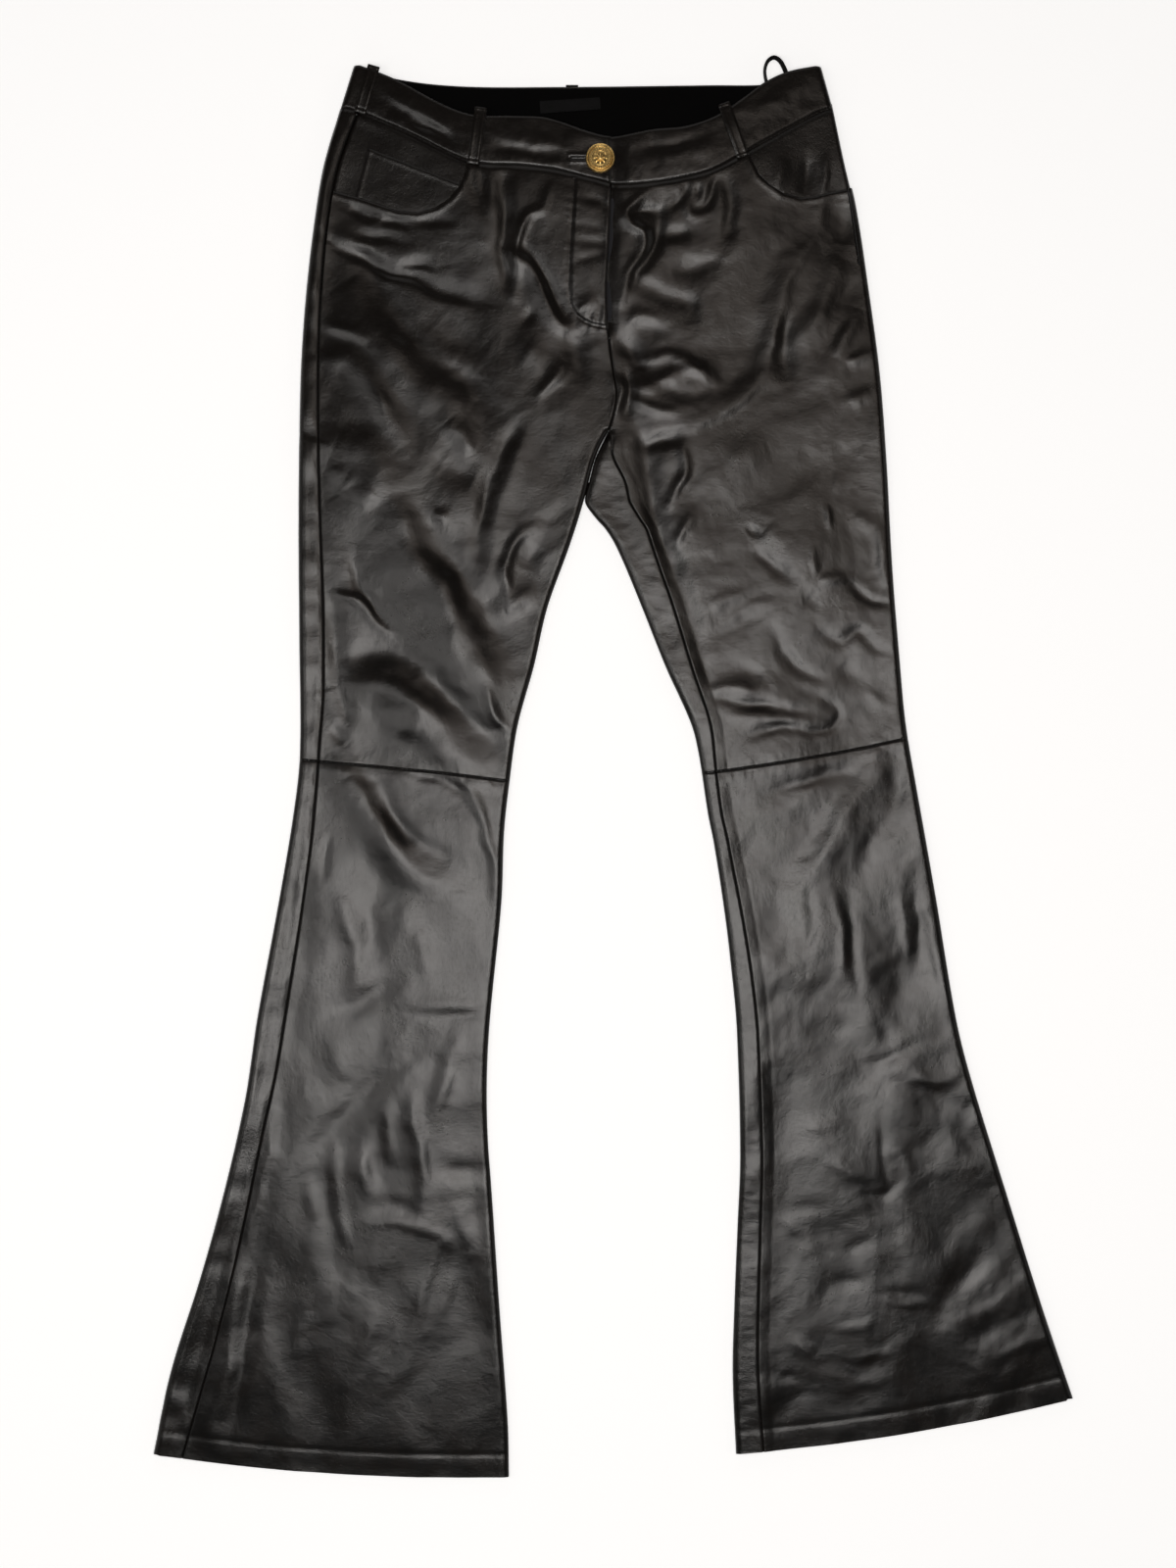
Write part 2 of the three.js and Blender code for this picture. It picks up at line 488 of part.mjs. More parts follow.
// Rows of stations down the thigh and the shin
function evenStations(from, to, cells) {
  return Array.from({ length: cells + 1 }, (_, i) => lerp(from, to, i / cells));
}
// Heights of the rows below the crotch, closer together where the inner edge turns
const CROTCH_ROWS = [256, 250, 243, 235, 226, 217, 209, 202, 193, 184];
const LOWER_THIGH_ROWS = evenStations(170, 17, 9);
const thighStations = (leg) => [
  ...evenStations(0, 1, 13),
  ...[...CROTCH_ROWS, ...LOWER_THIGH_ROWS].map((y) => leg.stationAt(y)),
  2 - leg.kneeGap,
];
const shinStations = (leg) => [
  ...evenStations(2 + leg.kneeGap / 2, leg.hemStation - 0.008, 18),
  leg.hemStation + 0.004,
  3,
];
const HALF_GAP = SEAM_GAP / 2;

// Columns of each panel round its leg's ring. A front runs over the top and a back underneath.
const ROLL_CELLS = 4;
const topCells = (v) => (v < 2 ? 14 : 11);
function rightFrontColumns(v) {
  const seam = rightLeg.outseam(rightLeg.edgeY(v, 0)) + HALF_GAP;
  const width = rightLeg.width(v);
  const centre = width - HALF_GAP;
  const rolled = ring.innerTop(rightLeg, v);
  const cells = [topCells(v), ROLL_CELLS, 1];
  const hip = columnsThrough([seam, centre - 30, centre - 8, centre], cells);
  const below = columnsThrough(
    [seam, rolled, rolled + ROLL_ARC, ring.underFromInner(rightLeg, v, UNDER_INSEAM) - HALF_GAP],
    cells,
  );
  return hip.map((distance, i) => lerp(distance, below[i], rightLeg.turned(v)));
}
function rightBackColumns(v) {
  const lap = ring.lap(rightLeg, v);
  const seam = rightLeg.outseam(rightLeg.edgeY(v, 0)) - HALF_GAP;
  const centre = ring.underFromInner(rightLeg, v, HALF_GAP);
  const inseam = ring.underFromInner(rightLeg, v, UNDER_INSEAM) + HALF_GAP;
  const start = lerp(centre, inseam, rightLeg.turned(v));
  return columnsThrough([start, lap + ROLL - ROLL_ARC, lap + ROLL, lap + seam], [3, ROLL_CELLS, 2]);
}
function leftFrontColumns(v) {
  const seam = ring.underFromOuter(UNDER_OUTSEAM) + HALF_GAP;
  const inset = v > 1 ? leftLeg.inseam(leftLeg.edgeY(v, 1)) : 0;
  const end = leftLeg.width(v) - inset - HALF_GAP;
  return columnsThrough([seam, ROLL - ROLL_ARC, ROLL, end - 30, end], [1, ROLL_CELLS, topCells(v) - 2, 3]);
}
function leftBackColumns(v) {
  const lap = ring.lap(leftLeg, v);
  const end = lap + ring.underFromOuter(UNDER_OUTSEAM) - HALF_GAP;
  const centre = ring.underFromInner(leftLeg, v, HALF_GAP);
  const cells = [2, ROLL_CELLS, 3];
  const hip = columnsThrough([centre, centre + 8, centre + 30, end], cells);
  if (v <= 1) return hip;
  const seam = leftLeg.width(v) - leftLeg.inseam(leftLeg.edgeY(v, 1)) + HALF_GAP;
  const rolled = ring.innerTop(leftLeg, v);
  const below = columnsThrough([seam, rolled, rolled + ROLL_ARC, end], cells);
  return hip.map((distance, i) => lerp(distance, below[i], leftLeg.turned(v)));
}

// Joins and cuts
const wasm = await Module();
wasm.setup();

function toManifold(geometry) {
  const plain = geometry.clone();
  plain.deleteAttribute("normal");
  plain.deleteAttribute("uv");
  const merged = mergeVertices(plain, 1e-4);
  return new wasm.Manifold(new wasm.Mesh({
    numProp: 3,
    vertProperties: new Float32Array(merged.getAttribute("position").array),
    triVerts: new Uint32Array(merged.getIndex().array),
  }));
}

function toGeometry(manifold) {
  const mesh = manifold.getMesh();
  const geometry = new THREE.BufferGeometry();
  geometry.setAttribute("position", new THREE.BufferAttribute(new Float32Array(mesh.vertProperties), 3));
  geometry.setIndex(new THREE.BufferAttribute(new Uint32Array(mesh.triVerts), 1));
  return geometry;
}

const subtract = (body, tool) => toGeometry(toManifold(body).subtract(toManifold(tool)));

// An upright prism over a plan outline.
function prism(outline, low, high) {
  const shape = new THREE.Shape(outline.map(({ x, y }) => new THREE.Vector2(x, y)));
  const geometry = new THREE.ExtrudeGeometry(shape, { depth: high - low, bevelEnabled: false });
  return geometry.translate(0, 0, low);
}

// Plan outline of everything above a pocket's scooped edge, out past the side.
function scoopOutline(scoop) {
  const first = scoop[0];
  const last = scoop[scoop.length - 1];
  const above = 560; // past the top of the trousers
  return [...scoop, { x: last.x, y: above }, { x: first.x, y: above }];
}

// Front and back panels of the thighs
function rightFrontThigh() {
  const whole = tubeWall(rightLeg, thighStations(rightLeg), rightFrontColumns, 0, LEATHER);
  return subtract(whole, prism(scoopOutline(RIGHT_SCOOP), -2, 30));
}
function leftFrontThigh() {
  const whole = tubeWall(leftLeg, thighStations(leftLeg), leftFrontColumns, 0, LEATHER);
  return subtract(whole, prism(scoopOutline(LEFT_SCOOP), -2, 30));
}
const rightBackThigh = () => tubeWall(rightLeg, thighStations(rightLeg), rightBackColumns, 0, LEATHER);
const leftBackThigh = () => tubeWall(leftLeg, thighStations(leftLeg), leftBackColumns, 0, LEATHER);

// Pocket facings: they lie under the fronts and fill the scooped mouths
const COIN_DEPTH = LEATHER + SEAM_GAP;
const RIGHT_FACING_DEPTH = COIN_DEPTH + FACING + SEAM_GAP;
const LEFT_FACING_DEPTH = LEATHER + SEAM_GAP;
const FACING_START = 0.006; // station of a facing's top edge, just clear of the rolled waistband

function rightPocketFacing() {
  const columns = (v) => {
    const seam = rightLeg.outseam(rightLeg.edgeY(v, 0)) + HALF_GAP;
    return columnsThrough([seam, 122], [9]);
  };
  const depth = RIGHT_FACING_DEPTH;
  return tubeWall(rightLeg, evenStations(FACING_START, 0.4, 6), columns, depth, depth + FACING);
}
function leftPocketFacing() {
  const columns = () => columnsThrough(
    [ring.underFromOuter(UNDER_OUTSEAM) + HALF_GAP, ROLL - ROLL_ARC, ROLL, 80],
    [1, 4, 6],
  );
  const depth = LEFT_FACING_DEPTH;
  return tubeWall(leftLeg, evenStations(FACING_START, 0.36, 6), columns, depth, depth + FACING);
}
const coinPocket = () => topPatch(
  rightLeg, COIN_POCKET, { across: 8, down: 4 }, COIN_DEPTH, COIN_DEPTH + FACING,
);

// The zip behind the fly, a plain tape under both fronts
const FLY_ZIP = {
  topOuter: { x: -18, y: 440 }, topInner: { x: 14, y: 440 },
  bottomOuter: { x: -18, y: 346 }, bottomInner: { x: 14, y: 346 },
};
const ZIP_DEPTH = LEATHER + 0.9; // the tape spans the folds less closely than the leather
const flyZip = () => topPatch(
  rightLeg, FLY_ZIP, { across: 6, down: 9 }, ZIP_DEPTH, ZIP_DEPTH + FACING,
);

// Shins
const rightFrontShin = () => tubeWall(rightLeg, shinStations(rightLeg), rightFrontColumns, 0, LEATHER);
const rightBackShin = () => tubeWall(rightLeg, shinStations(rightLeg), rightBackColumns, 0, LEATHER);
const leftFrontShin = () => tubeWall(leftLeg, shinStations(leftLeg), leftFrontColumns, 0, LEATHER);
const leftBackShin = () => tubeWall(leftLeg, shinStations(leftLeg), leftBackColumns, 0, LEATHER);

// Waistband pieces
const bandStations = evenStations(0, 1, 4);
const bandStart = 14.6; // the right side seam, from the rolled edge
const centreFront = (w) => CENTRE_FRONT_SHARE * band.width(w);
const TONGUE_DEPTH = BAND_WALL + SEAM_GAP;
const tongueSink = (w, distance) => TONGUE_DEPTH * (1 - smoothstep(distance - centreFront(w), 1, 15));

function bandFrontRight() {
  const columns = (w) => columnsThrough([bandStart + HALF_GAP, centreFront(w)], [20]);
  const whole = tubeWall(band, bandStations, columns, 0, BAND_WALL);
  const { x, y } = BUTTON_CENTRE;
  const slit = BUTTONHOLE.slit / 2;
  const eyelet = Array.from({ length: 13 }, (_, i) => {
    const angle = Math.PI * (-1 + (2 * i) / 13) + 0.3;
    return { x: x + EYELET_RADIUS * Math.cos(angle), y: y + EYELET_RADIUS * Math.sin(angle) };
  });
  const slot = [
    { x: x - BUTTONHOLE.length, y: y - slit }, { x: x - 1, y: y - slit },
    { x: x - 1, y: y + slit }, { x: x - BUTTONHOLE.length, y: y + slit },
  ];
  return subtract(subtract(whole, prism(eyelet, 0, 30)), prism(slot, 0, 30));
}
function bandFrontLeft() {
  const columns = (w) => columnsThrough(
    [
      centreFront(w) - OVERLAP, centreFront(w), centreFront(w) + 16, ring.innerTop(band, w),
      ring.innerUnder(band, w), ring.underFromInner(band, w, UNDER_OUTSEAM) - HALF_GAP,
    ],
    [5, 5, 12, 4, 1],
  );
  const inner = (w, distance) => tongueSink(w, distance) + BAND_WALL;
  return tubeWall(band, bandStations, columns, tongueSink, inner);
}
function bandBack() {
  const columns = (w) => {
    const lap = ring.lap(band, w);
    return columnsThrough(
      [
        ring.underFromInner(band, w, UNDER_OUTSEAM) + HALF_GAP,
        lap + ROLL - ROLL_ARC, lap + ROLL, lap + bandStart - HALF_GAP,
      ],
      [20, 4, 2],
    );
  };
  return tubeWall(band, bandStations, columns, 0, BAND_WALL);
}

// The black woven facing on the inside of the back band
function backFacing() {
  const inset = 12;
  const grid = (z) => evenStations(0.04, 0.97, 3).map((w) => (
    columnsThrough([inset, band.width(w) - inset], [20]).map((reach) => ({ ...band.under(w, reach), z }))
  ));
  const bottom = BAND_LIFT + BAND_WALL + SEAM_GAP;
  return wallGeometry(grid(bottom + FACING), grid(bottom));
}
const FACING_TOP = BAND_LIFT + BAND_WALL + SEAM_GAP + FACING;

function waistLabel() {
  const corners = [
    { x: -57.2, y: 516.6 }, { x: -10.4, y: 519.6 }, { x: -9.7, y: 510.5 }, { x: -56.5, y: 507 },
  ];
  const low = FACING_TOP + SEAM_GAP;
  return prism(corners, low, low + 0.5);
}

// A belt loop: a strip that arches off the band and lies down on it at both ends
function beltLoop({ x, y, lean, length, face }) {
  const steps = 8;
  const row = (depth) => (_, i) => {
    const share = i / steps;
    const lift = face === loopOnTop ? SEAM_GAP + 0.9 * Math.sin(Math.PI * share) ** 2 : SEAM_GAP;
    return [-1, 0, 1].map((edge) => {
      const along = (share - 0.5) * length;
      const out = (edge * LOOP_WIDTH) / 2;
      const px = x + along * Math.sin(lean) + out * Math.cos(lean);
      const py = y + along * Math.cos(lean) - out * Math.sin(lean);
      return { x: px, y: py, z: face(px, py, lift + depth, share) };
    });
  };
  const layer = (depth) => Array.from({ length: steps + 1 }, row(depth));
  return wallGeometry(layer(LOOP_WALL), layer(0));
}
const loopOnTop = (px, py, offset) => Math.max(bandHeight(px), legHeight(rightLeg, px, py)) + offset;
const loopUnder = (px, py, offset) => BAND_LIFT - offset;

const BELT_LOOPS = [
  { name: "belt_loop_front_right", x: -105.3, y: 488, lean: 0.14, length: 44, face: loopOnTop },
  { name: "belt_loop_front_left", x: 92.8, y: 492.4, lean: -0.35, length: 44, face: loopOnTop },
  { name: "belt_loop_side_right", x: -190.6, y: 524.6, lean: 0.29, length: 38, face: loopOnTop },
  { name: "belt_loop_side_left", x: 146, y: 521, lean: -0.05, length: 31, face: loopUnder },
  { name: "belt_loop_centre_back", x: -32, y: 509.3, lean: 0, length: 42, face: loopUnder },
];

function beltLoops() {
  return BELT_LOOPS.map((loop) => ({ name: loop.name, geometry: beltLoop(loop) }));
}

// The button: a disc with a raised rim and a domed middle, and its shank
function button() {
  const z = bandHeight(BUTTON_CENTRE.x) + SEAM_GAP;
  const shankFoot = -TONGUE_DEPTH;
  const profile = [
    [0, shankFoot], [SHANK_RADIUS, shankFoot], [SHANK_RADIUS, 0], [BUTTON_RADIUS - 0.8, 0],
    [BUTTON_RADIUS, 0.8], [BUTTON_RADIUS, 2.2], [BUTTON_RADIUS - 0.7, 2.9], [BUTTON_RADIUS - 1.8, 2.6],
    [BUTTON_RADIUS - 2.4, 1.9], [BUTTON_RADIUS - 5.1, 1.9], [2.6, 2.3], [0, 2.5],
  ];
  const geometry = new THREE.LatheGeometry(profile.map(([r, h]) => new THREE.Vector2(r, h)), 24);
  geometry.rotateX(Math.PI / 2);
  return geometry.translate(BUTTON_CENTRE.x, BUTTON_CENTRE.y, z);
}

// The ribbon hanger loop, lying flat on the facing and out past the band
function hangerLoop() {
  const route = [
    { x: 121, y: 526 }, { x: 118.2, y: 534 }, { x: 117.6, y: 541 }, { x: 119.8, y: 547 },
    { x: 124.4, y: 549.8 }, { x: 129, y: 547.4 }, { x: 132.4, y: 542 }, { x: 134.6, y: 536 },
    { x: 135.6, y: 529 },
  ];
  const curve = new THREE.CatmullRomCurve3(route.map(({ x, y }) => new THREE.Vector3(x, y, 0)));
  const half = 1.3;
  const points = curve.getPoints(18);
  const sideways = points.map((point, i) => {
    const tangent = curve.getTangent(i / 18);
    return new THREE.Vector3(-tangent.y, tangent.x, 0).multiplyScalar(half);
  });
  const outside = points.map((point, i) => point.clone().add(sideways[i]));
  const inside = points.map((point, i) => point.clone().sub(sideways[i])).reverse();
  const low = FACING_TOP + SEAM_GAP;
  return prism([...outside, ...inside], low, low + 1);
}

// Assembly
const trousers = new THREE.Group();

function addPiece(name, geometry, material) {
  const mesh = new THREE.Mesh(geometry, material);
  mesh.name = name;
  trousers.add(mesh);
}

addPiece("front_thigh_right", rightFrontThigh(), finishes.leather);
addPiece("back_thigh_right", rightBackThigh(), finishes.leather);
addPiece("front_thigh_left", leftFrontThigh(), finishes.leather);
addPiece("back_thigh_left", leftBackThigh(), finishes.leather);
addPiece("front_shin_right", rightFrontShin(), finishes.leather);
addPiece("back_shin_right", rightBackShin(), finishes.leather);
addPiece("front_shin_left", leftFrontShin(), finishes.leather);
addPiece("back_shin_left", leftBackShin(), finishes.leather);
addPiece("pocket_facing_right", rightPocketFacing(), finishes.innerLeather);
addPiece("pocket_facing_left", leftPocketFacing(), finishes.innerLeather);
addPiece("coin_pocket", coinPocket(), finishes.innerLeather);
addPiece("fly_zip", flyZip(), finishes.tape);
addPiece("waistband_front_right", bandFrontRight(), finishes.leather);
addPiece("waistband_front_left", bandFrontLeft(), finishes.leather);
addPiece("waistband_back", bandBack(), finishes.leather);
addPiece("back_facing", backFacing(), finishes.woven);
addPiece("waist_label", waistLabel(), finishes.satin);
addPiece("hanger_loop", hangerLoop(), finishes.satin);
addPiece("button", button(), finishes.gold);
beltLoops().forEach(({ name, geometry }) => addPiece(name, geometry, finishes.leather));

export default trousers;
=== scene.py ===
"""Black leather trousers laid flat with the front up, on a pale floor.

The pieces are worked out in millimetres, +Y to the waist and +X to the wearer's left, and made in metres.
"""

import math
from collections import namedtuple

import bpy
import numpy as np
from bpy.props import FloatProperty, FloatVectorProperty, PointerProperty
from bpy.types import Operator, Panel, PropertyGroup
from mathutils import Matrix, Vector


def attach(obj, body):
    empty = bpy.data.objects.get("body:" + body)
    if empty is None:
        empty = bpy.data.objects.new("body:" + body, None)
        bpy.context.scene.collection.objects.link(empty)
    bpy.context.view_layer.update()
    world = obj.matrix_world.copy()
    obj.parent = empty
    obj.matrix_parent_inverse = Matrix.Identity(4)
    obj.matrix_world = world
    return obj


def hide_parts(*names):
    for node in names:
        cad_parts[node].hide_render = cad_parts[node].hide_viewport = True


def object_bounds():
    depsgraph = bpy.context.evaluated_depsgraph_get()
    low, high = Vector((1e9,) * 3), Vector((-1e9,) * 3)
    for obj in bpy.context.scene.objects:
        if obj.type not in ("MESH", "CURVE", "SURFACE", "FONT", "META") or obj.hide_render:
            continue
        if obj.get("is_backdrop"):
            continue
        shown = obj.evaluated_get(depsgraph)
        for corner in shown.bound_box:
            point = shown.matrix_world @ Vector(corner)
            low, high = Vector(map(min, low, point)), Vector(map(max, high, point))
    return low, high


bl_info = {
    "name": "Leather Trousers",
    "version": (1, 0, 0),
    "blender": (4, 5, 0),
    "location": "View3D > Sidebar > Trousers",
    "description": "Makes flared leather trousers laid flat, piece by piece, over their frame",
    "category": "Add Mesh",
}

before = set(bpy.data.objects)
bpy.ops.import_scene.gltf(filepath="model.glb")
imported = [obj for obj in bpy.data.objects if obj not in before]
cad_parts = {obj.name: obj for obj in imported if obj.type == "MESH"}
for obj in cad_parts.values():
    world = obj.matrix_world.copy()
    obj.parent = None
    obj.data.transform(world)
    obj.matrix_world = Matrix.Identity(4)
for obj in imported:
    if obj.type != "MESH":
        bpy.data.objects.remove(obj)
CAD_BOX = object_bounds()

MM = 0.001
BODY = "root"

# Sizes that the frame shares, in millimetres
LEATHER = 1.2
FACING = 1.0
BAND_WALL = 2.0
BAND_LIFT = 1.5
BAND_HEIGHT = 38.0
SEAM_GAP = 0.3
HALF_GAP = 0.02
BAND_GAP = 0.1
BAND_SIDE_SEAM = 14.6
ROLL = 5.0
ROLL_ARC = 14.0
UNDER_INSEAM = 12.0
UNDER_OUTSEAM = 10.0
CENTRE_BACK = -3.2
CROTCH_Y = 262.0
CROTCH_RUN = 19.0
HEM_DEPTH = 17.0
BASE_HEIGHT = 5.6
HIP_HEIGHT = 7.2
LEAST_HEIGHT = 3.2
SIDE_BAND_HEIGHT = 9.6
MIDDLE_BAND_HEIGHT = 12.8
RIGHT_PUFF = 2.2
LEFT_PUFF = 0.9
INNER_PUFF = 0.5
EDGE_PUFF_REACH = 12.0
BAND_TUCK = 1.2
BUTTON_RADIUS = 11.4
BUTTON_FACE = 1.75
BUTTON_X = -10.1
BUTTON_Y = 470.6
CENTRE_FRONT_SHARE = 0.5497
OVERLAP = 38.0
COIN_DEPTH = LEATHER + SEAM_GAP
RIGHT_FACING_DEPTH = COIN_DEPTH + FACING + SEAM_GAP
LEFT_FACING_DEPTH = LEATHER + SEAM_GAP
TONGUE_DEPTH = BAND_WALL + SEAM_GAP
FACING_LOW = BAND_LIFT + BAND_WALL + SEAM_GAP
# How far the stitches of a seam stand over the bottom of its groove
SEAM_LIFT = 0.55

# Rolled side edges: distance up the leg, x
RIGHT_OUTER = (
    (512, -211.6), (466, -224.8), (420, -232.4), (375, -237.7), (329, -241.5), (283, -243.2),
    (192, -244.4), (101, -243.8), (10, -243.4), (-36, -248.3), (-104, -259.7), (-195, -276.4),
    (-258, -285.9), (-332, -302.8), (-396, -320.6), (-469, -343.6), (-533, -357),
)
LEFT_OUTER = (
    (512, 171.7), (470, 180.4), (432, 189.1), (375, 197.8), (306, 206.9), (238, 212.2),
    (154, 216.8), (78, 222.9), (32, 227.4), (-13, 235), (-104, 251), (-195, 266.2),
    (-241, 277.6), (-332, 305.7), (-424, 334.6), (-490, 357),
)
CENTRE_FRONT = (
    (452, -1.3), (412, -2.9), (371, -4.9), (342, -3.9), (324, -2.4), (304, 0.4), (290, 2.4),
    (277, 0.8), (262, -3.2),
)
RIGHT_INNER = (
    (262, -3.2), (241, -13.5), (213, -21.1), (192, -27.2), (169, -34.8), (124, -51), (78, -61.6),
    (32, -74.2), (-11, -80.4), (-50, -84.6), (-104, -86.7), (-195, -95.6), (-241, -98),
    (-287, -97.4), (-332, -94.2), (-424, -88), (-507, -81.9), (-551, -80.9),
)
LEFT_INNER = (
    (262, -3.2), (241, -13.5), (222, -18.8), (209, -22.1), (203, -21), (193, -13.6), (184, -5.6),
    (169, 3.2), (124, 22.2), (78, 40.5), (34, 60.2), (10, 66.3), (-36, 73.4), (-60, 78.2),
    (-114, 86.5), (-159, 91.8), (-204, 95.8), (-300, 98.4), (-358, 96.4), (-417, 93.9),
    (-471, 92.6), (-533, 95.2),
)
# Seams that show on the top face: distance up the leg, distance in from the rolled edge
RIGHT_OUTSEAM = (
    (512, 14.6), (455, 11), (400, 11), (318, 13.5), (230, 16), (128, 19), (60, 18.4), (6, 15),
    (-68, 18), (-200, 21.8), (-286, 19.6), (-400, 25), (-465, 28.6), (-539, 23),
)
LEFT_INSEAM = (
    (262, 0), (256, 5.5), (243, 12), (220, 29), (205, 35), (193, 34), (169, 28), (130, 25),
    (84, 21), (49, 17), (0, 11.4), (-60, 11.2), (-168, 15.4), (-300, 17), (-461, 19.5),
    (-533, 21.4),
)
# Waistband edges: x, distance up
FRONT_BAND_BOTTOM = (
    (-212, 512), (-196.7, 507.8), (-159.6, 492), (-116, 470.6), (-100, 466.8), (-73, 465.8),
    (-45.6, 462.6), (-15.8, 455.4), (2.5, 451), (25, 452), (52, 456), (79, 463.4), (116, 484),
    (159, 507.6), (172, 512),
)
FRONT_BAND_TOP = (
    (-201.2, 545.5), (-170, 533.2), (-130.5, 512), (-108.5, 504.6), (-73, 503.6), (-50.7, 502),
    (-15.8, 490.6), (0, 488), (31.7, 493.4), (57, 496), (81, 504.6), (102, 518.9), (117, 530),
    (135, 538.5), (161.3, 544),
)
BACK_BAND_TOP = (
    (-201.2, 545.5), (-170, 534.6), (-120, 528.6), (-44, 528), (77, 529.4), (116.5, 529.8),
    (140, 534), (161.3, 544),
)
BACK_BAND_BOTTOM = (
    (-212, 512), (-196, 506), (-150, 494), (-90, 488), (-20, 486.5), (60, 488), (120, 496),
    (158, 507), (172, 512),
)
BAND_LOW_SIDES = (-211.6, 170.4)
BAND_HIGH_SIDES = (-201.2, 161.3)
# Knee and hem lines: outer edge, inner edge, bow
Line = namedtuple("Line", "outer inner bow")
RIGHT_KNEE = Line(5.9, -10.8, 1)
RIGHT_HEM = Line(-533, -551, -6)
LEFT_KNEE = Line(22.6, -4.8, -2)
LEFT_HEM = Line(-490, -533, -5)
# Pocket mouths, from the side seam to the waistband
RIGHT_SCOOP = (
    (-216.6, 446.6), (-200, 442.1), (-183, 436.6), (-167, 430.7), (-151, 429.4), (-138, 433),
    (-127, 440), (-119.5, 449), (-115.2, 458), (-113.6, 466),
)
LEFT_SCOOP = (
    (181.5, 447.8), (168, 445.4), (156, 442.4), (144, 441.4), (131.7, 444.6), (121, 451.2),
    (112.3, 459.6), (107, 470.2), (104.8, 475.6),
)
# Corners: the top two, then the bottom two
COIN_POCKET = ((-190.2, 480), (-106, 446.5), (-205, 424), (-112, 414))
WAIST_LABEL = ((-57.2, 516.6), (-10.4, 519.6), (-56.5, 507), (-9.7, 510.5))
# Where the fly ends, and the line of its stitching, downwards
FLY_FOOT = (332, 346)
FLY_STITCH = (
    (-29.8, 455), (-31.6, 425), (-33.4, 398), (-34.2, 371), (-33, 359), (-29, 351), (-22.6, 345.6),
    (-14, 342.4), (-4.6, 340.8),
)

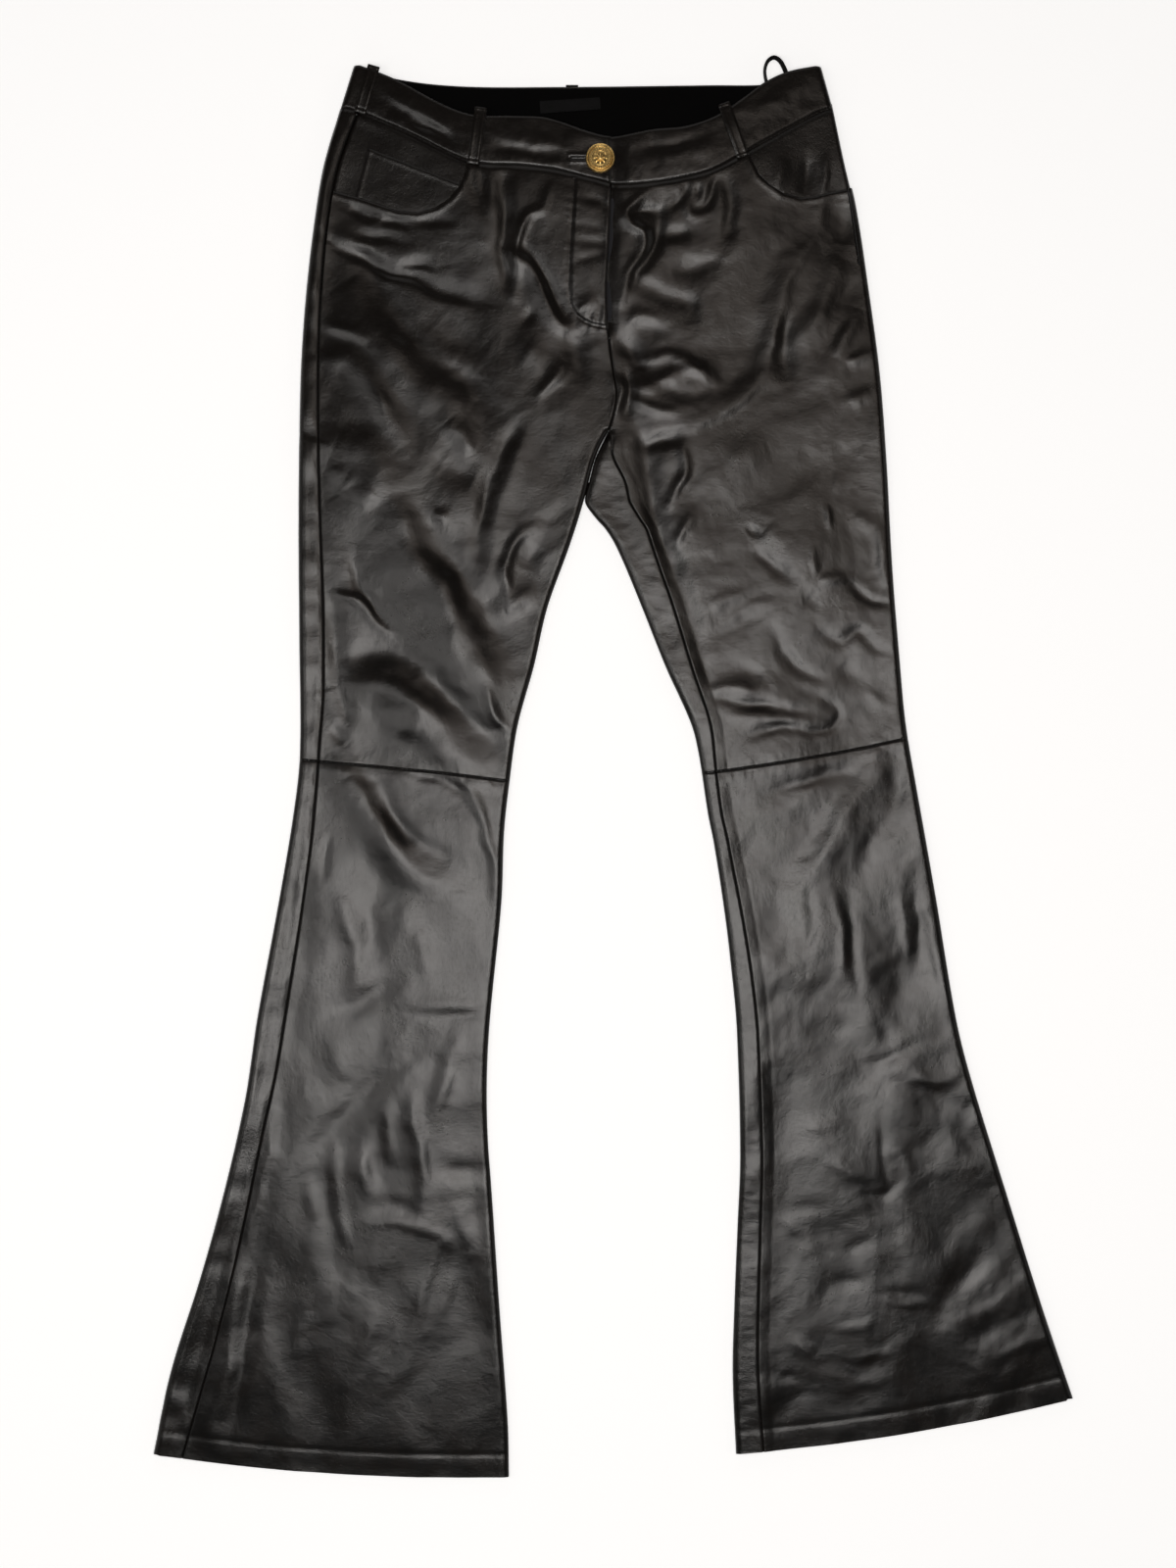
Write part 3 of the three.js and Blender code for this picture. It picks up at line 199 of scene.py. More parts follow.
# A crease: its path, half width, height (a trough is negative) and lean, which widens the flank
# on the path's left and narrows the other. The tables of creases have these columns
Crease = namedtuple("Crease", "path width height lean", defaults=(0,))
HIP_CREASES = (
    (((-214, 403), (-195, 394), (-172, 383), (-150, 376), (-128, 366), (-104, 360)), 7, -2.9, 0.35),
    (((-216, 414), (-196, 405), (-176, 396)), 6, 1.2),
    (((-212, 372), (-192, 345), (-170, 318), (-140, 292), (-116, 272)), 17, 3.6, -0.1),
    (((-196, 398), (-176, 360), (-150, 322), (-112, 296), (-92, 272)), 10, -1.6),
    (((-224, 318), (-204, 316), (-188, 298), (-174, 272), (-160, 250)), 10, 3, -0.2),
    (((-205, 430), (-186, 425)), 4.5, -1.5, 0.3),
    (((-180, 423), (-158, 418)), 4.5, -1.5, 0.3),
    (((-152, 421), (-126, 421)), 4, -1.5, 0.3),
    (((-200, 412), (-160, 407)), 4.5, -1.1, 0.3),
    (((-165, 391), (-138, 388)), 5.5, -1.3, 0.3),
    (((-222, 345), (-206, 338), (-190, 330)), 6, 1.1),
    (((-134, 345), (-118, 330), (-100, 318)), 12, -1.1),
    (((-84, 468), (-84, 430), (-85, 400), (-81, 376)), 6, -4.4),
    (((-77, 364), (-75, 398), (-67, 424), (-55, 432), (-49, 448)), 4, 2.2),
    (((-103, 464), (-98, 440)), 4, -1.4),
    (((-113, 460), (-101, 428)), 5, -1.1),
    (((-80, 398), (-66, 388), (-55, 366), (-44, 350), (-32, 338)), 6.5, 4, -0.2),
    (((-68, 402), (-54, 381), (-43, 362), (-31, 350)), 4.5, -2.6),
    (((-72, 344), (-62, 354)), 4, -1),
    (((-38, 316), (-46, 303), (-58, 289)), 5, 1.8),
    (((-34, 344), (-28, 320), (-26, 298)), 8, -1.9),
    (((-70, 322), (-54, 314)), 9, 1.2),
    (((-24, 441), (-12, 438), (-5, 430)), 4, -0.8),
    (((-30, 419), (-8, 416)), 4, -0.4),
    (((-30, 409), (-6, 405)), 4, -0.5),
    (((-30, 392), (-10, 396)), 4.5, -0.6),
    (((-26, 355), (-12, 362)), 6, 1.2),
    (((40, 454), (23, 443), (12, 433), (10, 426), (15, 419), (24, 413), (23, 401), (14, 384),
      (5, 360)), 4.2, 3.4),
    (((40, 438), (33, 415), (27, 397), (16, 376)), 5.5, -3.6),
    (((17, 429), (36, 430)), 4.5, -3),
    (((58, 457), (53, 441), (45, 430)), 3.4, -2.3),
    (((81, 458), (75, 441), (64, 429)), 4, -2.2),
    (((66, 452), (64, 440)), 3, -1.5),
    (((50, 452), (60, 428), (72, 432)), 4, 1.1),
    (((86, 458), (90, 438), (88, 408)), 6, -1.7),
    (((38, 412), (60, 415)), 5.5, -1.7),
    (((46, 380), (86, 394)), 9, -1.4),
    (((22, 373), (40, 364), (57, 360), (60, 344)), 7, -2),
    (((4, 334), (14, 322), (22, 306)), 6.5, -2.6),
    (((8, 342), (22, 350), (46, 346)), 6, 1.2),
    (((20, 316), (44, 319), (64, 311), (78, 299)), 5, 1.5),
    (((10, 291), (34, 297), (56, 307), (74, 311)), 6, 1.2),
    (((12, 284), (30, 278), (48, 273)), 4.5, 1.2),
    (((30, 300), (52, 289), (74, 291)), 6, -1),
    (((165, 446), (161, 426), (151, 406), (139, 388), (131, 366), (125, 340), (121, 316), (112, 299),
      (98, 285), (80, 275), (58, 266)), 9, 1.5, -0.3),
    (((154, 440), (132, 396), (114, 352), (104, 312), (80, 292)), 16, -0.9),
    (((178, 394), (162, 360), (149, 326)), 8, 1.7),
    (((136, 346), (132, 320), (135, 300)), 7, -1.7),
    (((190, 354), (172, 316)), 7, 1.4),
    (((202, 321), (180, 314)), 4.5, 1.1),
    (((182, 283), (198, 291)), 5, 1.2),
    (((182, 436), (178, 404)), 12, -1.8),
    (((132, 472), (127, 446)), 5, 1.6),
    (((151, 472), (146, 444)), 6, -1.8),
    (((165, 474), (163, 444)), 3.5, 1.6),
    (((-1, 300), (6, 290), (2, 272)), 4, 1.6),
    (((10, 308), (12, 286), (8, 268)), 5, -2),
)
THIGH_CREASES = (
    (((-214, 248), (-192, 239), (-176, 214), (-158, 176), (-138, 137), (-118, 103), (-101, 68),
      (-87, 32)), 22, 6.4, -0.2),
    (((-180, 228), (-155, 195), (-128, 158), (-104, 126), (-90, 95)), 12, -2.6),
    (((-210, 62), (-185, 66), (-165, 58), (-145, 38), (-125, 16), (-108, -1)), 15, 4.8, -0.2),
    (((-205, 86), (-165, 86), (-138, 68), (-112, 40), (-86, 12)), 9, -2.2),
    (((-214, 133), (-199, 131), (-187, 118), (-175, 105)), 5, 2, -0.3),
    (((-203, 164), (-198, 143), (-188, 127), (-177, 113)), 4.5, -1.8),
    (((-198, 204), (-184, 214)), 8, 1.5),
    (((-216, 232), (-208, 214)), 8, 1.2),
    (((-76, 262), (-92, 225), (-103, 185), (-106, 158)), 7, -2.4),
    (((-66, 260), (-84, 220), (-95, 182)), 7, 1.1),
    (((-58, 189), (-74, 177), (-83, 156), (-83, 133)), 4.5, 2),
    (((-58, 172), (-68, 152)), 7, -1.4),
    (((-84, 124), (-60, 134)), 9, 1.6),
    (((-219, 128), (-214, 100), (-214, 70), (-207, 34)), 6.5, -2.2),
    (((-220, 30), (-208, 20)), 5, -1.2),
    (((-140, 196), (-128, 190)), 5, 1.2),
    (((-128, 268), (-108, 247)), 9, 2.2),
    (((-132, 234), (-108, 220)), 9, -1.4),
    (((-178, 38), (-150, 26)), 9, 1.1),
    (((-98, 60), (-90, 40), (-82, 30)), 4, 1.4),
    (((16, 272), (24, 245), (29, 215), (37, 180), (51, 140), (65, 95), (73, 62)), 7.5, -2.6),
    (((55, 252), (56, 232), (50, 216), (41, 203)), 4.2, 2),
    (((22, 250), (52, 255)), 5, -2),
    (((60, 196), (46, 168)), 5, 1.2),
    (((125, 108), (132, 89), (145, 75), (162, 67)), 5, -1.9),
    (((164, 202), (168, 187)), 2.8, 0.9),
    (((156, 170), (156, 148)), 2.6, 0.8),
    (((182, 141), (200, 129), (216, 126)), 4, -1.8),
    (((158, 143), (180, 146)), 5, 1.4),
    (((145, 128), (160, 130)), 6, -1.2),
    (((160, 105), (175, 98), (190, 104), (202, 94), (212, 89)), 5, -1.7),
    (((85, 111), (102, 121), (126, 129)), 6, 1.1),
    (((74, 125), (102, 136)), 6, 1.3),
    (((112, 186), (106, 180)), 7, -1.3),
    (((110, 166), (126, 156), (138, 144)), 5.5, -1.4),
    (((118, 184), (136, 172)), 8, 1.2),
    (((76, 74), (98, 76), (116, 70)), 8, -2.3),
    (((72, 60), (92, 64), (110, 58)), 4.5, 1.4),
    (((80, 54), (98, 49), (124, 46), (150, 43)), 4.5, -2),
    (((146, 57), (164, 53), (175, 43), (169, 32), (150, 27), (126, 31), (108, 26), (92, 14)), 4, -1.8),
    (((92, 38), (124, 38), (160, 38)), 5, 1.2),
    (((176, 80), (192, 66)), 8, -1.4),
    (((196, 58), (210, 48)), 4.5, 1),
    (((206, 186), (208, 160), (214, 140)), 4, 1.3),
    (((188, 196), (202, 184)), 7, 1.1),
    (((140, 236), (175, 226)), 16, -1.1),
    (((84, 236), (120, 248)), 14, 1.1),
)
SHIN_CREASES = (
    (((-206, -8), (-194, -26), (-182, -46), (-170, -66), (-150, -84), (-130, -92)), 12, 4, -0.25),
    (((-190, -6), (-172, -34), (-152, -60), (-126, -74)), 8, -2.4),
    (((-118, -8), (-106, -28), (-98, -52), (-91, -78), (-89, -105)), 4.5, 1.7),
    (((-154, -6), (-130, -13), (-114, -21)), 4, -1.5),
    (((-222, -56), (-225, -84)), 4, -1.7),
    (((-212, -100), (-203, -135), (-200, -166)), 7, 1.6),
    (((-190, -104), (-184, -146)), 8, -1.3),
    (((-152, -126), (-145, -160)), 8, 1.6),
    (((-216, -190), (-188, -179), (-162, -160)), 9, -2),
    (((-158, -183), (-130, -185), (-100, -184)), 6.5, 0.7),
    (((-160, -191), (-130, -194), (-98, -191)), 5, -0.8),
    (((-216, -208), (-212, -246)), 9, 1.4),
    (((-228, -298), (-200, -262), (-172, -236), (-152, -212)), 9, -2),
    (((-210, -330), (-180, -262), (-150, -236)), 8, 0.9),
    (((-157, -256), (-150, -300), (-145, -346)), 6.5, 2.4),
    (((-122, -212), (-132, -245), (-141, -282)), 7, 1.8),
    (((-136, -312), (-98, -314)), 8, -2),
    (((-177, -262), (-172, -302)), 6, 1.3),
    (((-197, -298), (-191, -332)), 6, 1.4),
    (((-219, -288), (-215, -325), (-207, -368)), 5.5, 1.5),
    (((-241, -318), (-228, -352)), 7, 1.2),
    (((-198, -345), (-168, -341), (-150, -348)), 7, -1),
    (((-195, -354), (-160, -355), (-137, -361), (-124, -375)), 5, 0.9),
    (((-123, -336), (-112, -373)), 8, 1.6),
    (((-139, -378), (-146, -405), (-153, -427)), 4.5, 1.2),
    (((-123, -390), (-134, -426)), 6, 1.5),
    (((-186, -428), (-197, -460)), 6, 1.1),
    (((-160, -420), (-176, -470)), 9, -1.1),
    (((-240, -420), (-246, -462)), 8, 1),
    (((-262, -398), (-282, -440)), 8, 1),
    (((-290, -385), (-296, -430), (-306, -480), (-317, -521)), 8.5, 3.4),
    (((-279, -388), (-284, -440), (-291, -490), (-300, -524)), 7, -2.4),
    (((-263, -268), (-273, -325), (-285, -374)), 4, 1.3),
    (((-338, -484), (-334, -516)), 6.5, 1.6),
    (((-200, -470), (-210, -512)), 9, 0.9),
    (((-140, -480), (-146, -516)), 8, 0.9),
    (((120, -18), (142, -12), (166, -6), (186, -5)), 5.5, -3.3),
    (((128, -34), (160, -26)), 8, 1.2),
    (((206, 14), (196, -14), (181, -38), (166, -68), (152, -86), (145, -104)), 15, 4.8, 0.15),
    (((223, 8), (217, -30), (201, -60), (184, -94)), 9, -2.6),
    (((150, -96), (155, -118), (151, -142)), 5, -2.2),
    (((170, -96), (177, -118), (179, -140), (176, -162)), 4.5, 2.4),
    (((181, -98), (186, -135), (190, -172)), 5.5, -2.6),
    (((221, -103), (226, -125), (230, -144)), 3.8, 1.9),
    (((232, -94), (237, -125), (236, -158)), 5.5, -2.4),
    (((241, -88), (250, -140), (262, -190)), 4.5, 1.5),
    (((122, -179), (146, -178), (172, -161)), 7.5, -2.2),
    (((118, -158), (150, -160)), 9, 1.2),
    (((204, -158), (232, -167), (252, -158)), 8, -1.6),
    (((150, -204), (186, -204)), 6, -1.6),
    (((150, -191), (182, -190)), 6, 1),
    (((186, -231), (212, -227), (240, -213)), 5.5, -1.6),
    (((206, -193), (212, -217)), 5, -1.6),
    (((196, -237), (226, -250), (258, -262), (282, -263)), 10, -3),
    (((230, -236), (250, -243), (270, -237)), 5.5, 2.1),
    (((148, -281), (174, -274)), 6, 1.4),
    (((207, -270), (210, -300), (212, -328)), 4, -1.9),
    (((222, -295), (232, -320)), 6.5, 1.6),
    (((164, -303), (184, -314), (207, -319)), 5.5, 1.8),
    (((192, -333), (211, -331), (220, -320)), 4, -1.5),
    (((136, -344), (170, -341)), 7.5, -1.6),
    (((262, -279), (284, -296), (294, -308)), 6.5, -1.9),
    (((130, -352), (144, -362)), 4, 1),
    (((291, -347), (272, -366), (252, -399)), 9, 2.1),
    (((290, -377), (268, -401), (245, -434)), 9, -2.2),
    (((208, -412), (224, -416), (243, -416)), 3.2, 1.2),
    (((205, -405), (240, -409)), 4, -0.9),
    (((322, -393), (298, -414), (267, -433)), 7, 1.7),
    (((334, -417), (306, -431), (268, -449)), 7, -1.5),
    (((342, -441), (316, -448), (291, -463)), 5.5, 1.6),
    (((276, -462), (290, -474)), 5, 1.2),
    (((180, -479), (210, -475)), 5.5, 1.4),
    (((188, -459), (218, -452)), 5, 1.2),
    (((138, -446), (156, -456)), 6, 1.2),
    (((176, -437), (202, -431)), 4, 1),
    (((168, -403), (196, -398)), 6, -1.3),
    (((120, -470), (150, -474)), 5, -1.1),
    (((180, -374), (200, -364)), 5, -1.2),
)
CREASES = HIP_CREASES + THIGH_CREASES + SHIN_CREASES
# Hollows of the underside, where its folds stand off the floor
UNDER_CREASES = (
    (((-190, 420), (-140, 380), (-90, 330), (-50, 290)), 12, 0.7),
    (((-170, 300), (-120, 262), (-70, 240)), 10, 0.6),
    (((30, 300), (80, 340), (130, 400)), 12, 0.7),
    (((40, 250), (100, 268), (160, 300)), 10, 0.6),
    (((-200, 60), (-160, 40), (-115, 20)), 10, 0.7),
    (((-205, -40), (-160, -30), (-120, -50)), 9, 0.6),
    (((100, 60), (140, 40), (190, 50)), 10, 0.7),
    (((120, -50), (160, -34), (200, -40)), 9, 0.6),
    (((-190, -200), (-170, -280), (-160, -360)), 11, 0.5),
    (((170, -190), (190, -280), (220, -360)), 11, 0.5),
)
# Height over half width that no crease goes beyond
STEEPEST = 0.42
# Shares of their height that the folds keep on the left leg, down the shins and below the knees
LEFT_FOLD_SHARE = 0.66
SHIN_FOLD_SHARE = 0.78
BELOW_KNEE_SHARE = 0.8
BAND_CREASES = (
    (((-186, 527), (-150, 508), (-120, 490)), 6.1, 0.78, 0.3),
    (((-180, 518), (-150, 499), (-128, 486)), 4.3, -0.78),
    (((-92, 488), (-60, 483), (-28, 480)), 6.1, 0.6, 0.3),
    (((-92, 480), (-64, 475), (-38, 472)), 4.6, -0.66),
    (((20, 470), (50, 473), (80, 484)), 6.8, 0.6),
    (((14, 478), (44, 480), (70, 489)), 4.3, -0.6),
    (((98, 505), (124, 515), (150, 528)), 6.8, 0.66),
    (((30, 488), (34, 462)), 5.4, -0.6),
    (((-120, 478), (-136, 492), (-160, 500)), 4, -0.9),
)


# Curves, noise and the forms of the legs and the band
def smoothstep(value, low, high):
    share = np.clip((np.asarray(value, float) - low) / (high - low), 0, 1)
    return share * share * (3 - 2 * share)


def lerp(a, b, share):
    return a + (b - a) * share


def bell(distance, width):
    """A soft bump, 1 at no distance and fading out over a width."""
    return np.exp(-((distance / width) ** 2))


def table_curve(rows):
    """A smooth curve through a table of (at, value) rows."""
    at, value = np.array(sorted(rows), float).T
    low = np.maximum(np.arange(len(at)) - 1, 0)
    high = np.minimum(np.arange(len(at)) + 1, len(at) - 1)
    slope = (value[high] - value[low]) / (at[high] - at[low])

    def curve(query):
        query = np.asarray(query, float)
        i = np.clip(np.searchsorted(at, query) - 1, 0, len(at) - 2)
        run = at[i + 1] - at[i]
        t = (query - at[i]) / run
        rise = t * t * (3 - 2 * t)
        leave = t * (1 - t) ** 2 * run * slope[i]
        arrive = t * t * (t - 1) * run * slope[i + 1]
        inside = lerp(value[i], value[i + 1], rise) + leave + arrive
        before = value[0] + slope[0] * (query - at[0])
        after = value[-1] + slope[-1] * (query - at[-1])
        return np.where(t < 0, before, np.where(t > 1, after, inside))

    return curve


band_bottom = table_curve(FRONT_BAND_BOTTOM)
band_top = table_curve(FRONT_BAND_TOP)
back_band_bottom = table_curve(BACK_BAND_BOTTOM)
back_band_top = table_curve(BACK_BAND_TOP)
centre_front = table_curve(CENTRE_FRONT)


def gradient_noise(x, y, size, seed):
    """Smooth noise from about -1 to 1, with lumps of one size, the same for the same seed."""
    random = np.random.RandomState(seed)
    order = random.permutation(256)
    turn = random.rand(256) * 2 * np.pi
    u, v = np.asarray(x, float) / size + 1000, np.asarray(y, float) / size + 1000
    column, row = np.floor(u).astype(int), np.floor(v).astype(int)
    a, b = u - column, v - row

    def corner(right, up):
        angle = turn[order[(order[(column + right) & 255] + row + up) & 255]]
        return np.cos(angle) * (a - right) + np.sin(angle) * (b - up)

    ease = lambda t: t * t * t * (t * (6 * t - 15) + 10)
    low = lerp(corner(0, 0), corner(1, 0), ease(a))
    high = lerp(corner(0, 1), corner(1, 1), ease(a))
    return 1.6 * lerp(low, high, ease(b))


def smooth_path(points, steps=7):
    """A smooth line through a few points, as a list of closely spaced ones."""
    at = np.arange(len(points))
    fine = np.linspace(0, len(points) - 1, steps * (len(points) - 1) + 1)
    if len(points) == 2:
        return np.stack([np.interp(fine, at, column) for column in zip(*points)], -1)
    return np.stack([table_curve(list(zip(at, column)))(fine) for column in zip(*points)], -1)


def crease_height(crease, x, y):
    """Height that one crease adds: a soft ridge or trough along its path, lower at its ends."""
    line = smooth_path(crease.path)
    low, high = line.min(0) - 3.2 * crease.width, line.max(0) + 3.2 * crease.width
    near = (x > low[0]) & (x < high[0]) & (y > low[1]) & (y < high[1])
    height = np.zeros(x.shape)
    if not near.any():
        return height
    start, step = line[:-1], np.diff(line, axis=0)
    length = np.hypot(*step.T)
    from_x, from_y = x[near][:, None] - start[:, 0], y[near][:, None] - start[:, 1]
    share = np.clip((from_x * step[:, 0] + from_y * step[:, 1]) / length**2, 0, 1)
    away = np.hypot(from_x - share * step[:, 0], from_y - share * step[:, 1])
    nearest = away.argmin(1)
    pick = np.arange(len(nearest)), nearest
    left = (from_y * step[:, 0] - from_x * step[:, 1])[pick] > 0
    along = (nearest + share[pick]) / len(start)
    width = crease.width * np.where(left, 1 + crease.lean, 1 - crease.lean)
    taper = 0.3 + 0.7 * np.sin(np.pi * along) ** 0.7
    steep = crease.height / (STEEPEST * crease.width)
    height[near] = crease.height / math.hypot(1, steep) * taper * bell(away[pick], width)
    return height


def creases_height(rows, x, y):
    """The creases together, with wandering paths and an uneven height."""
    wander_x = x + 2.2 * gradient_noise(x, y, 26, 71) + 0.5 * gradient_noise(x, y, 11, 73)
    wander_y = y + 2.2 * gradient_noise(x, y, 26, 72) + 0.5 * gradient_noise(x, y, 11, 74)
    uneven = 1 + 0.35 * gradient_noise(x, y, 33, 75)
    uneven = uneven * lerp(BELOW_KNEE_SHARE, 1, smoothstep(y, -40, 20))
    return uneven * sum(crease_height(Crease(*row), wander_x, wander_y) for row in rows)


def band_height(x):
    """Top of the waistband, which stands higher in front than at its rolled sides."""
    middle = smoothstep(x, -205, -95) * (1 - smoothstep(x, 75, 168))
    return lerp(SIDE_BAND_HEIGHT, MIDDLE_BAND_HEIGHT, middle)


def crumple(x, y):
    """The small uneven lumps and ripples of worn leather, in millimetres."""
    warp_x = x + 9 * gradient_noise(x, y, 60, 11)
    warp_y = y + 9 * gradient_noise(x, y, 60, 12)
    slant = 0.8 * warp_x + 0.6 * warp_y
    cross = 0.8 * warp_y - 0.6 * warp_x
    swell = 1.3 * gradient_noise(warp_x, 0.8 * warp_y, 80, 5)
    lumps = 0.6 * gradient_noise(warp_x, warp_y, 42, 1)
    ripples = 0.45 * gradient_noise(slant / 1.9, cross, 19, 2)
    small = 0.16 * gradient_noise(warp_x, warp_y, 9.5, 3)
    fine = 0.035 * gradient_noise(x, y, 4.2, 4)
    worn = lerp(0.5, 0.42, smoothstep(-y, -60, 60)) * lerp(1, 1.35, smoothstep(x, -40, 60))
    streaks = 0.7 * gradient_noise(warp_x, 0.4 * warp_y, 34, 6) * smoothstep(-y, 20, 120)
    return swell + lumps + streaks + worn * (ripples + small + fine)


class Leg:
    """A leg as a flattened tube. Its ring coordinate m is the distance in from the outer edge
    on the top face; below ROLL it runs round the outer edge and on over the underside."""

    def __init__(self, side, outer, inner, knee, hem, puff, outseam=None, inseam=None):
        self.side = side
        self.puff = puff
        self.outer = table_curve(outer)
        self.inner = table_curve(inner)
        self.knee, self.hem = knee, hem
        self.outseam = table_curve(outseam) if outseam else None
        self.inseam = table_curve(inseam) if inseam else None

    def inner_top(self, y):
        return np.where(y > CROTCH_Y, centre_front(y), self.inner(y))

    def width(self, y):
        return np.abs(self.inner_top(y) - self.outer(y))

    def under_width(self, y):
        inner = np.where(y > CROTCH_Y, CENTRE_BACK, self.inner(y))
        return np.abs(inner - self.outer(y))

    def turned(self, y):
        """How far the inner seam has rolled into place below the crotch, from 0 to 1."""
        return smoothstep(CROTCH_Y - y, 0, CROTCH_RUN)

    def across(self, x, y):
        """The ring coordinate of a point on the top face."""
        return np.abs(x - self.outer(y))

    def line(self, at, share):
        return lerp(at.outer, at.inner, share) + 4 * at.bow * share * (1 - share)

    def share(self, m, y):
        """How far across the leg a ring coordinate lies, from its outer edge to its inner."""
        width = self.width(y)
        reach = np.where(m >= ROLL, m, np.where(m >= ROLL - ROLL_ARC, 0, 2 * ROLL - ROLL_ARC - m))
        reach = np.where(reach > width, 2 * width + ROLL_ARC - 2 * ROLL - reach, reach)
        return np.clip(reach / width, 0, 1)

    def top_height(self, x, y):
        below = band_bottom(x) - y
        hip = lerp(HIP_HEIGHT, band_height(x), 1 - smoothstep(below, 0, 150))
        base = lerp(BASE_HEIGHT, hip, smoothstep(y, 60, CROTCH_Y + 20))
        room = lerp(0.3, 1, smoothstep(below, 0, 14))
        strength = bpy.context.scene.trousers_sizes.fold_strength
        folds = creases_height(CREASES, x, y)
        lumps = bpy.context.scene.trousers_sizes.crumple * crumple(x, y)
        outer = self.puff * bell(np.abs(x - self.outer(y)), EDGE_PUFF_REACH) * smoothstep(below, 0, 60)
        inner = INNER_PUFF * bell(np.abs(x - self.inner_top(y)), EDGE_PUFF_REACH)
        inner = inner * (1 - smoothstep(y, CROTCH_Y - 30, CROTCH_Y))
        tuck = BAND_TUCK * bell(below, 2.6)
        strength = strength * lerp(1, LEFT_FOLD_SHARE, smoothstep(x, -30, 40) * smoothstep(-y, -240, -60))
        strength = strength * lerp(1, SHIN_FOLD_SHARE, smoothstep(-y, 40, 140))
        return soft_floor(base + room * (strength * folds + outer + inner + lumps), LEAST_HEIGHT) - tuck

    def seam_relief(self, x, y):
        """Grooves where seams show on the top face, and the lie of their allowances."""
        share = self.share(self.across(x, y), y)
        to_knee = y - self.line(self.knee, share)
        to_hem = y - self.line(self.hem, share) - HEM_DEPTH
        pucker = gradient_noise(x, 0.3 * y, 4.5, 63) * bell(to_knee, 8)
        relief = 0.1 * pucker - 1.0 * uneven_bell(to_knee, 0.8, 0.45) + 0.22 * bell(to_knee + 6, 3.4)
        relief += 0.15 * bell(to_hem + 6, 5) - 0.3 * uneven_bell(to_hem, 0.7, 2.6)
        if self.outseam:
            to_seam = self.across(x, y) - self.outseam(y)
            pull = 0.5 * gradient_noise(0.4 * x, y, 19, 62) * smoothstep(-to_seam, 1, 6)
            relief += seam_groove(to_seam) + 0.3 * bell(to_seam + 4.5, 2.6) + pull
        if self.inseam:
            to_seam = self.width(y) - self.inseam(y) - self.across(x, y)
            below = smoothstep(CROTCH_Y - y, 0, 14)
            pull = 0.14 * gradient_noise(0.25 * x, y, 3.2, 61) * smoothstep(-to_seam, 0, 4)
            rise = 0.7 * bell(to_seam, 9) - 0.1 * bell(to_seam - 9, 1.6)
            relief += below * (seam_groove(to_seam) + rise + pull + 0.25 * pucker * bell(to_seam - 12, 26))
        return relief

    def point(self, m, y, depth=0.0):
        """Points of the tube's surface, or of a layer some depth below it."""
        width, outer = self.width(y), self.outer(y)
        roll_on = y <= CROTCH_Y
        inner_end = np.where(roll_on, width - ROLL, width)
        under_inner = np.where(roll_on, self.under_width(y) - ROLL, self.under_width(y))
        second = 2 * ROLL - ROLL_ARC - under_inner
        top_reach = np.clip(m, ROLL, inner_end)
        past_second = second - ROLL_ARC
        top_reach = np.where(m < past_second, width - ROLL - (past_second - m), top_reach)
        past_first = inner_end + ROLL_ARC
        under_reach = np.clip(2 * ROLL - ROLL_ARC - m, ROLL, under_inner)
        under_reach = np.where(m > past_first, width - ROLL - (m - past_first), under_reach)
        first_roll = (m > inner_end) & (m <= past_first)
        outer_roll = (m < ROLL) & (m > ROLL - ROLL_ARC)
        second_roll = (m < second) & (m >= past_second)
        on_top = ((m >= ROLL) & (m <= inner_end)) | (m < past_second)
        turn = np.select(
            [first_roll, outer_roll, second_roll],
            [(m - inner_end) / ROLL_ARC, (ROLL - m) / ROLL_ARC, 1 - (second - m) / ROLL_ARC],
            0.0,
        ) * np.pi
        rolling = first_roll | outer_roll | second_roll
        reach = np.where(on_top, top_reach, under_reach)
        reach = np.where(outer_roll, ROLL, reach)
        reach = np.where(first_roll | second_roll, width - ROLL, reach)
        x = outer + self.side * reach
        top = self.top_height(x, y) + self.seam_relief(x, y)
        under = under_height(x, y)
        middle, half = (top + under) / 2, (top - under) / 2
        bulge = (ROLL - depth) * np.sin(turn) * np.where(outer_roll, -self.side, self.side)
        z = np.where(on_top, top - depth, under + depth)
        z = np.where(rolling, middle + (half - depth) * np.cos(turn), z)
        x = np.where(rolling, x + bulge, x)
        return np.stack([x, y, z], -1)


def under_height(x, y):
    """The underside rests on the floor, with shallow hollows between its lumps and under its folds."""
    hollows = 0.5 * np.maximum(gradient_noise(x, y, 55, 21), 0)
    return 0.15 + hollows + creases_height(UNDER_CREASES, x, y)


def soft_floor(height, low):
    """Keeps a height over a lowest one, without a sharp bend where the two meet."""
    over = height - low
    return low + (over + np.sqrt(over * over + 1.2)) / 2


def seam_groove(distance):
    return -1.1 * bell(distance, 0.6)


def uneven_bell(distance, before, after):
    """A soft bump with one width before its middle and another after it."""
    return bell(distance, np.where(distance < 0, before, after))


right_leg = Leg(1, RIGHT_OUTER, RIGHT_INNER, RIGHT_KNEE, RIGHT_HEM, RIGHT_PUFF, outseam=RIGHT_OUTSEAM)
left_leg = Leg(-1, LEFT_OUTER, LEFT_INNER, LEFT_KNEE, LEFT_HEM, LEFT_PUFF, inseam=LEFT_INSEAM)


